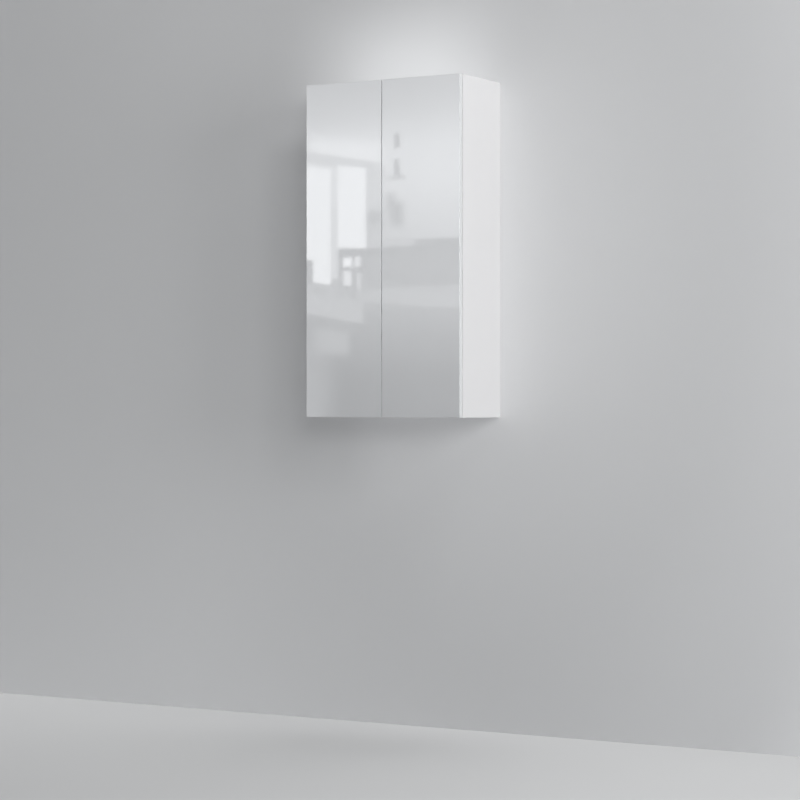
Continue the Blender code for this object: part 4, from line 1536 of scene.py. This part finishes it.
    def plate(self) -> Shape:
        """Form the mounting plate: a cross of sheet with a rib and two screws.

        Returns:
            The joined shapes.
        """
        box = self.extent("plate")
        low, high, z = box.low, box.high, box.middle.z
        sheet = low.x + self.rib_height
        base = sheet + self.plate_sheet
        screw_y = low.y + self.wing_setback
        body = self.pressed((sheet, low.y, z - self.plate_half), (base, high.y, z + self.plate_half))
        wing = self.pressed((sheet, screw_y - self.wing_half_width, low.z),
                            (base, screw_y + self.wing_half_width, high.z))
        rib = Shape.block((low.x, low.y + self.rib_inset, z - self.rib_half),
                          (sheet + self.rib_edge, high.y - self.rib_inset, z + self.rib_half), self.rib_edge)
        screw = CrossScrew(self.plate_screw_radius, self.plate_screw_height, self.plate_screw_blade)
        body.join(wing, rib)
        for step in (-1, 1):
            seat = (sheet, screw_y, z + step * self.plate_screw_pitch)
            shank = Shape.rod(seat, (high.x, screw_y, seat[2]), self.plate_shank, sides=16,
                              edge=self.plate_edge)
            body.join(screw.at(seat, INWARD, twist=0.2 + step * 0.5), shank)
        return body


@dataclass
class Latch:
    """A push latch: a ribbed housing in the bottom panel and its spring plunger."""

    finishes: Finishes
    hand: Hand
    mouth: float = 0.0036
    mouth_bevel: Span = (0.0008, 0.0004)
    bore_depth: float = 0.042
    collar_edge: float = 0.0003
    collar_end: float = 0.0020
    rib_start: float = 0.0022
    rib_pitch: float = 0.008
    rib_share: float = 0.8
    rib_depth: float = 0.0003
    rib_slope: float = 0.0004
    rib_end: float = 0.0012
    plain_end: float = 0.006
    rear_chamfer: float = 0.0008
    tip: tuple[Station, ...] = ((0.0, 0.0007), (0.0002, 0.0003), (0.0006, 0.0), (0.0012, 0.0))
    groove: tuple[Station, ...] = ((0.0001, 0.0003), (0.0006, 0.0003), (0.0007, 0.0))
    tail_chamfer: float = 0.0005

    def build(self) -> None:
        """Build the housing and the plunger."""
        self.housing()
        self.plunger()

    def housing(self) -> None:
        """Turn the housing, with ribs around its barrel."""
        node = f"latch_housing_{self.hand.word}"
        box = Extent.of(node)
        radius, length, mouth = box.radius, box.depth, self.mouth
        bevel, widening = self.mouth_bevel
        stations = [(self.bore_depth, 0.0), (self.bore_depth, mouth), (bevel, mouth), (0.0, mouth + widening),
                    (0.0, radius - self.collar_edge), (self.collar_edge, radius), (self.collar_end, radius)]
        for index in range(int((length - self.plain_end) / self.rib_pitch)):
            start = self.rib_start + index * self.rib_pitch
            end = start + self.rib_pitch * self.rib_share
            stations += [(start, radius - self.rib_depth), (end, radius - self.rib_depth),
                         (end + self.rib_slope, radius), (end + self.rib_end, radius)]
        stations += chamfered(length, radius, self.rear_chamfer)
        housing = Shape.turned(stations, box.front, REARWARD, steps=40)
        housing.place(f"{node}_turned", self.finishes.grey_plastic, "carcass", "grey_plastic", node)

    def plunger(self) -> None:
        """Turn the plunger, with a rounded tip and a groove behind it."""
        node = f"latch_plunger_{self.hand.word}"
        box = Extent.of(node)
        radius, body = box.radius, f"{self.hand.word}_plunger"
        stations = [(0.0, 0.0), *stepped(self.tip, radius), *stepped(self.groove, radius, self.tip[-1][0]),
                    *chamfered(box.depth, radius, self.tail_chamfer)]
        plunger = Shape.turned(stations, box.front, REARWARD)
        plunger.place(f"{node}_turned", self.finishes.pale_plastic, body, "pale_plastic", node)


@dataclass
class Hanger:
    """A wall hanger: a moulded housing with two adjusting screws and a steel hook."""

    finishes: Finishes
    hand: Hand
    width: float = 0.020
    corner: float = 0.003
    edge: float = 0.0005
    slot_half: float = 0.0065
    slot_height: float = 0.0040
    slot_drop: float = 0.0135
    slot_depth: float = 0.0265
    recesses: int = 3
    recess_pitch: float = 0.0085
    recess_height: float = 0.0065
    recess_margin: float = 0.0030
    recess_depth: float = 0.0012
    recess_edge: float = 0.0004
    screw_height: float = 0.0015
    screw_radius: float = 0.0040
    screw_drops: tuple[float, float] = (0.034, 0.050)
    screw_share: float = 0.85
    screw_blade: float = 0.0008
    screw_dome: float = 0.9
    screw_rim: tuple[Station, ...] = (
        (0.0, 0.0), (0.0006, 0.0), (0.0009, 0.0003), (0.0009, 0.0006), (0.0002, 0.0006))
    boss_radius: float = 0.0050
    boss_drops: tuple[float, float] = (0.016, 0.048)
    boss_setback: float = 0.020
    boss_chamfer: float = 0.0008
    boss_overlap: float = 0.0005
    hook_thickness: float = 0.0030
    hook_seat: float = 0.0080
    hook_seat_depth: float = 0.0008
    hook_bend: float = 0.0022
    hook_burr: float = 0.0002
    tooth_start: float = 0.004
    tooth_pitch: float = 0.0030
    tooth_depth: float = 0.0006
    plain_run: float = 0.010

    def build(self) -> None:
        """Build the housing and the hook."""
        self.housing()
        self.hook()

    def housing(self) -> None:
        """Form the housing, its pegs, its recesses and the adjusting screws."""
        low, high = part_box("hanger_housing_right")
        front = low.y + self.screw_height
        right = low.x + self.width
        x = (low.x + right) / 2
        body = Shape.block((low.x, front, low.z), (right, high.y, high.z))
        body.corners(Axis.DEPTH, self.corner).soften(self.edge, 2, PRESSED)
        top, half = high.z - self.slot_drop, self.slot_half
        slot = Shape.block((x - half, high.y - self.slot_depth, top - self.slot_height),
                           (x + half, high.y + OVERRUN, top))
        body = body.carved(slot)
        margin = self.recess_margin
        for index in range(self.recesses):
            top = high.z - margin - index * self.recess_pitch
            recess = Shape.block((low.x + margin, front - OVERRUN, top - self.recess_height),
                                 (right - margin, front + self.recess_depth, top), self.recess_edge, steps=2)
            body = body.carved(recess)
        radius = self.screw_radius
        screw = CrossScrew(radius * self.screw_share, self.screw_height, self.screw_blade, self.screw_dome)
        collar = [(0.0, 0.0), *stepped(self.screw_rim, radius), (self.screw_rim[-1][0], 0.0)]
        for index, drop in enumerate(self.screw_drops):
            seat = (x, front, high.z - drop)
            body.join(Shape.turned(collar, seat, FORWARD), screw.at(seat, FORWARD, twist=0.3 + index))
        radius, length = self.boss_radius, high.x - right + self.boss_overlap
        boss = [(0.0, 0.0), (0.0, radius), *chamfered(length, radius, self.boss_chamfer)]
        for drop in self.boss_drops:
            start = (right - self.boss_overlap, high.y - self.boss_setback, high.z - drop)
            body.join(Shape.turned(boss, start, OUTWARD))
        node = f"hanger_housing_{self.hand.word}"
        finish = self.finishes.white_plastic
        body.handed(self.hand).place(f"{node}_moulding", finish, "carcass", "white_plastic", node)

    def hook(self) -> None:
        """Form the hook: a bent strip with a seat behind its lip and a row of teeth below."""
        low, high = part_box("hanger_hook_right")
        under = high.z - self.hook_thickness
        lip = high.y - self.hook_thickness
        seat = lip - self.hook_seat
        first = low.y + self.tooth_start
        teeth = int((seat - low.y - self.plain_run) / self.tooth_pitch)
        outline = [(low.y, high.z), (low.y, under)]
        for index in range(teeth):
            start = first + index * self.tooth_pitch
            outline += [(start, under), (start + self.tooth_pitch / 2, under + self.tooth_depth)]
        raised = under + self.hook_seat_depth
        outline += [(first + teeth * self.tooth_pitch, under), (seat, under), (seat, raised), (lip, raised),
                    (lip, low.z), (high.y, low.z), (high.y, high.z)]
        strip = Shape.swept([(low.x, y, z) for y, z in outline], (high.x - low.x, 0.0, 0.0))

        def bend(edge: bmesh.types.BMEdge) -> bool:
            """Whether an edge is the outside of the strip's bend."""
            return all(abs(v.co.y - high.y) < WELD and abs(v.co.z - high.z) < WELD for v in edge.verts)

        strip.soften(self.hook_bend, steps=6, where=bend).soften(self.hook_burr, 1, SQUARE)
        node = f"hanger_hook_{self.hand.word}"
        strip.handed(self.hand).place(f"{node}_strip", self.finishes.zinc, "carcass", "zinc_steel", node)


@dataclass(frozen=True)
class Lamp:
    """A soft square lamp aimed at a point."""

    name: str
    place: Point
    size: float
    watts: float
    aim: Point = (0.1, 0.0, 0.5)

    def hang(self) -> None:
        """Add the lamp to the scene."""
        light = bpy.data.lights.new(self.name, "AREA")
        light.size = self.size
        light.energy = self.watts
        lamp = bpy.data.objects.new(self.name, light)
        lamp.location = self.place
        lamp.rotation_euler = (Vector(self.aim) - Vector(self.place)).to_track_quat("-Z", "Y").to_euler()
        lamp.visible_glossy = False
        lamp.visible_camera = False
        bpy.context.scene.collection.objects.link(lamp)


@dataclass(frozen=True)
class Zone:
    """A part of the wall, by where each of its soft edges starts and ends."""

    left: Span
    right: Span
    bottom: Span
    top: Span

    def mask(self, x: Value, z: Value) -> Value:
        """How much a place across the wall and a height are in the zone, from 0 to 1."""
        across = x.rising(*self.left) * (1 - x.rising(*self.right))
        return across * z.rising(*self.bottom) * (1 - z.rising(*self.top))


@dataclass(frozen=True)
class Patch:
    """A soft-edged shape of brightness on the card, placed by where the doors show it."""

    left: float
    right: float
    bottom: float
    top: float
    level: float
    soft: float = 0.005
    fall: float = 0.0

    def mask(self, x: Value, z: Value) -> Value:
        """Where the patch is, from 0 to 1.

        Args:
            x: Place across the doors.
            z: Height on the doors.

        Returns:
            The mask.
        """
        sides = (self.left, self.right, self.bottom, self.top)
        zone = Zone(*((side - self.soft, side + self.soft) for side in sides))
        return zone.mask(x, z + (x - self.left) * self.fall)


@dataclass
class Studio:
    """Camera, floor, wall, lamps and the card that the gloss doors reflect."""

    camera_place: Point = (3.4872, -5.9285, 0.0431)
    camera_tilt: float = 90.0
    camera_turn: float = 30.534
    lens: float = 106.885
    sensor: float = 36.0
    shift: float = 0.00307
    floor_height: float = -0.910
    floor_reach: float = 12.0
    wall_depth: float = 0.1202
    wall_half: float = 7.0
    wall_height: float = 5.0
    card_depth: float = -7.0
    card_half: float = 12.0
    card_span: Span = (-3.0, 6.0)
    floor_colour: Colour = (0.67, 0.675, 0.68)
    # Painted light: the wall's paint goes from lighter at the left to darker at the right, setting how bright
    # each side of the wall looks.
    wall_colours: tuple[Colour, Colour] = ((0.89, 0.895, 0.905), (0.72, 0.725, 0.735))
    wall_turn: Span = (-1.0, 0.5)
    # Painted glow: a lighter patch of wall paint beside and above the cabinet, standing in for light thrown
    # onto the wall by the cabinet's side and top.
    glow_colour: Colour = (0.88, 0.885, 0.895)
    glow_middle: Span = (0.2, 0.6)
    glow_squash: float = 0.35
    glow_reach: Span = (0.08, 0.85)
    # Painted shadow: the wall's paint is darkened to the left of the cabinet, where the cabinet's shadow
    # falls; shade is that zone.
    shade_colour: Colour = (0.70, 0.705, 0.715)
    shade: Zone = Zone((-0.62, -0.42), (-0.30, -0.10), (-0.3, 0.1), (0.78, 0.88))
    # Painted light: a strip of wall above the cabinet partly glows with a pale emission, standing in for
    # light thrown onto the wall from the cabinet's top.
    halo: Zone = Zone((-0.54, -0.04), (0.0, 0.36), (0.85, 1.0), (1.0, 1.34))
    halo_level: float = 1.0
    halo_share: float = 0.45
    fade: Span = (2.0, 3.2)
    wall_fade_lean: float = 0.35
    wall_fade_scale: float = 1.33
    surround: tuple[float, float, float, float] = (0.97, 0.985, 1.0, 1.0)
    surround_level: float = 0.85
    mirrored_level: float = 0.5
    ambient: float = 0.18
    card_colour: Colour = (0.965, 0.98, 1.0)
    card_full: float = 6.0
    card_stops: tuple[Station, ...] = (
        (0.0, 0.0), (0.12, 0.3), (0.235, 1.1), (0.30, 1.6), (0.36, 2.3), (0.50, 3.2), (0.62, 4.0),
        (0.68, 4.35), (0.77, 4.3), (0.82, 3.8), (0.87, 3.1), (0.97, 2.35), (1.12, 0.5))
    patches: tuple[Patch, ...] = (
        Patch(-0.500, -0.180, -0.300, 0.260, 1.2, 0.060),
        Patch(-0.230, -0.110, 0.190, 0.262, 1.9, 0.020, 0.100),
        Patch(-0.280, -0.060, 0.304, 0.369, 2.5, 0.004, 0.160),
        Patch(-0.060, 0.289, 0.332, 0.369, 2.4, 0.003, 0.080),
        Patch(-0.240, 0.003, 0.745, 0.810, 5.1, 0.025, 0.100),
        Patch(-0.280, -0.002, 0.742, 0.778, 3.7, 0.005, 0.189),
        Patch(-0.280, -0.051, 0.600, 0.745, 4.3, 0.005, 0.171),
        Patch(-0.280, -0.051, 0.451, 0.600, 3.9, 0.030),
        Patch(-0.051, 0.008, 0.590, 0.718, 3.6, 0.010),
        Patch(-0.051, 0.008, 0.472, 0.590, 2.9, 0.010),
        Patch(-0.176, -0.146, 0.400, 0.600, 3.9),
        Patch(-0.280, -0.172, 0.398, 0.732, 5.7, 0.004, 0.138),
        Patch(-0.280, -0.234, 0.386, 0.457, 1.7, 0.003),
        Patch(-0.148, -0.051, 0.493, 0.728, 5.7, 0.004, 0.138),
        Patch(-0.145, 0.005, 0.366, 0.466, 2.0, 0.004),
        Patch(-0.145, 0.005, 0.462, 0.485, 1.8, 0.003),
        Patch(-0.129, -0.098, 0.433, 0.461, 5.6, 0.003),
        Patch(-0.090, -0.070, 0.433, 0.461, 4.9, 0.003),
        Patch(-0.128, -0.101, 0.379, 0.422, 4.9, 0.003),
        Patch(-0.083, -0.066, 0.368, 0.413, 3.4, 0.003),
        Patch(-0.045, 0.000, 0.548, 0.590, 2.3, 0.016),
        Patch(0.012, 0.045, 0.588, 0.640, 2.5, 0.014),
        Patch(0.022, 0.072, 0.540, 0.612, 2.2, 0.018),
        Patch(0.040, 0.059, 0.768, 0.808, 2.1, 0.004),
        Patch(0.040, 0.059, 0.683, 0.735, 2.2, 0.004),
        Patch(0.018, 0.081, 0.675, 0.690, 3.0, 0.004),
        Patch(0.005, 0.289, 0.372, 0.505, 1.75, 0.003),
        Patch(0.005, 0.111, 0.487, 0.512, 2.8, 0.004),
    )
    lamps: tuple[Lamp, ...] = (
        Lamp("right_soft_lamp", (3.6, -1.0, 0.85), 1.8, 55.5),
        Lamp("high_right_lamp", (2.0, -0.8, 3.2), 1.8, 20.0),
        Lamp("front_right_lamp", (3.2, -4.9, 1.3), 1.4, 41.5),
        Lamp("left_soft_lamp", (-3.0, -3.0, 2.4), 2.4, 12.0),
        Lamp("rear_left_lamp", (-3.4, 1.6, 1.3), 1.8, 60.0, (-0.1, 0.0, 0.5)),
        Lamp("overhead_lamp", (0.0, 0.8, 3.2), 1.2, 22.0, (0.0, 0.0, 0.95)),
        Lamp("rear_soft_lamp", (1.5, 4.5, 2.0), 2.4, 60.0),
    )

    def build(self) -> None:
        """Build the whole studio."""
        self.camera()
        self.floor()
        self.wall()
        self.card()
        self.world()
        for lamp in self.lamps:
            lamp.hang()
        bpy.context.scene.view_settings.view_transform = "Standard"

    def camera(self) -> None:
        """Add the camera at the photograph's angle."""
        data = bpy.data.cameras.new("camera")
        data.lens = self.lens
        data.sensor_width = self.sensor
        data.shift_y = self.shift
        camera = bpy.data.objects.new("camera", data)
        camera.location = self.camera_place
        camera.rotation_euler = (math.radians(self.camera_tilt), 0.0, math.radians(self.camera_turn))
        bpy.context.scene.collection.objects.link(camera)
        bpy.context.scene.camera = camera

    def sheet(self, name: str, corners: list[Point], finish: bpy.types.Material, *hidden: Ray) -> None:
        """Add a flat sheet of the stage.

        Args:
            name: Name of the object.
            corners: Its four corners, in order.
            finish: Its material.
            hidden: The kinds of ray that don't see it.
        """
        form = bmesh.new()
        form.faces.new([form.verts.new(corner) for corner in corners])
        mesh = bpy.data.meshes.new(name)
        form.to_mesh(mesh)
        form.free()
        mesh.materials.append(finish)
        sheet = bpy.data.objects.new(name, mesh)
        bpy.context.scene.collection.objects.link(sheet)
        for ray in hidden:
            setattr(sheet, ray.value, False)

    @staticmethod
    def upright(half: float, depth: float, bottom: float, top: float) -> list[Point]:
        """The corners of an upright sheet that faces forward."""
        return [(-half, depth, bottom), (half, depth, bottom), (half, depth, top), (-half, depth, top)]

    def pale(self, shader: Shader, level: float) -> Value:
        """A glow of the colour of the surroundings."""
        return shader.node("ShaderNodeEmission", None, {"Color": self.surround, "Strength": level})

    def faded(self, shader: Shader, surface: Value, distance: Value) -> bpy.types.Material:
        """Show a surface from its front only, and let it fade into the pale surroundings.

        Args:
            shader: The tree to add nodes to.
            surface: The plain surface.
            distance: Distance from the cabinet.

        Returns:
            The material.
        """
        camera, mirrored = shader.rays()
        factor = distance.rising(*self.fade) * camera.most(mirrored)
        pale = self.pale(shader, self.surround_level)
        front = shader.node("ShaderNodeMixShader", None, {0: factor, 1: surface, 2: pale})
        clear = shader.node("ShaderNodeBsdfTransparent")
        behind = shader.node("ShaderNodeNewGeometry", output=6)
        return shader.output(shader.node("ShaderNodeMixShader", None, {0: behind, 1: front, 2: clear}))

    def floor(self) -> None:
        """Add the plain pale floor."""
        shader = Shader("plain_floor")
        x, y, _ = shader.position()
        paint = shader.node("ShaderNodeBsdfDiffuse", None, {"Color": (*self.floor_colour, 1.0)})
        finish = self.faded(shader, paint, (x * x + y * y).root())
        reach, z = self.floor_reach, self.floor_height
        corners = [(-reach, -reach, z), (reach, -reach, z), (reach, reach, z), (-reach, reach, z)]
        self.sheet("floor", corners, finish)

    def wall(self) -> None:
        """Add the wall, painted with light and shade around the cabinet, which shows only from the front and
        shades nothing.
        """
        shader = Shader("plain_wall")
        x, _, z = shader.position()
        # Distance from the middle of the painted glow; the fade below is measured from there too.
        aside, above = x - self.glow_middle[0], z - self.glow_middle[1]
        away = (aside * aside + above * above * self.glow_squash).root()
        # Painted light across the wall: lighter paint at the left, darker at the right.
        colour = shader.mix(x.rising(*self.wall_turn), *self.wall_colours)
        # Painted glow: lighter paint near the cabinet's side and top.
        colour = shader.mix(1 - away.rising(*self.glow_reach), colour, self.glow_colour)
        # Painted shadow: darker paint to the left of the cabinet.
        colour = shader.mix(self.shade.mask(x, z), colour, self.shade_colour)
        paint = shader.node("ShaderNodeBsdfDiffuse", None, {"Color": colour})
        # Painted halo: above the cabinet the wall partly glows with a pale emission.
        share = self.halo.mask(x, z) * self.halo_share
        pale = self.pale(shader, self.halo_level)
        paint = shader.node("ShaderNodeMixShader", None, {0: share, 1: paint, 2: pale})
        finish = self.faded(shader, paint, (away + x * self.wall_fade_lean) * self.wall_fade_scale)
        corners = self.upright(self.wall_half, self.wall_depth, self.floor_height,
                               self.floor_height + self.wall_height)
        self.sheet("wall", corners, finish, Ray.DIFFUSE, Ray.GLOSSY, Ray.TRANSMISSION, Ray.SHADOW)

    def card(self) -> None:
        """Add the card that only reflections see: pale above, darker below, with soft shapes on it."""
        shader = Shader("reflected_card")
        across, _, upward = shader.position()
        front = CAD_BOX[0].y
        spread = 1.0 + (front - self.card_depth) / (front - self.camera_place[1])
        x = (across - self.camera_place[0]) / spread + self.camera_place[0]
        z = (upward - self.camera_place[2]) / spread + self.camera_place[2]
        stops = [(place, (level / self.card_full,) * 3) for place, level in self.card_stops]
        ramp = shader.node("ShaderNodeValToRGB", {"stops": stops}, {0: z})
        level = shader.node("ShaderNodeRGBToBW", None, {0: ramp}) * self.card_full
        for patch in self.patches:
            level = level.towards(patch.level, patch.mask(x, z))
        colour = shader.node("ShaderNodeVectorMath", {"operation": "SCALE"},
                             {0: self.card_colour, "Scale": level})
        glow = shader.node("ShaderNodeEmission", None, {"Color": colour})
        corners = self.upright(self.card_half, self.card_depth, *self.card_span)
        finish = shader.output(glow)
        self.sheet("card", corners, finish, Ray.CAMERA, Ray.DIFFUSE, Ray.TRANSMISSION, Ray.SHADOW)

    def world(self) -> None:
        """Set the pale surroundings: a soft ambient light, and near white where they are seen."""
        world = bpy.data.worlds.new("pale_surround")
        bpy.context.scene.world = world
        shader = Shader(world.name, world)
        camera, mirrored = shader.rays()
        seen = camera * (self.surround_level - self.ambient) + mirrored * (self.mirrored_level - self.ambient)
        sockets = {"Color": self.surround, "Strength": seen + self.ambient}
        shader.output(shader.node("ShaderNodeBackground", None, sockets), "ShaderNodeOutputWorld")


def main() -> None:
    """Build the studio and dress the cabinet, piece by piece."""
    logging.basicConfig(level=logging.INFO, format="%(message)s")
    Studio().build()
    finishes = Finishes()
    Carcass(finishes).build()
    for hand in Hand:
        Door(finishes, hand).build()
        for level in Level:
            Hinge(finishes, hand, level).build()
        Latch(finishes, hand).build()
        Hanger(finishes, hand).build()


if __name__ == "__main__":
    main()
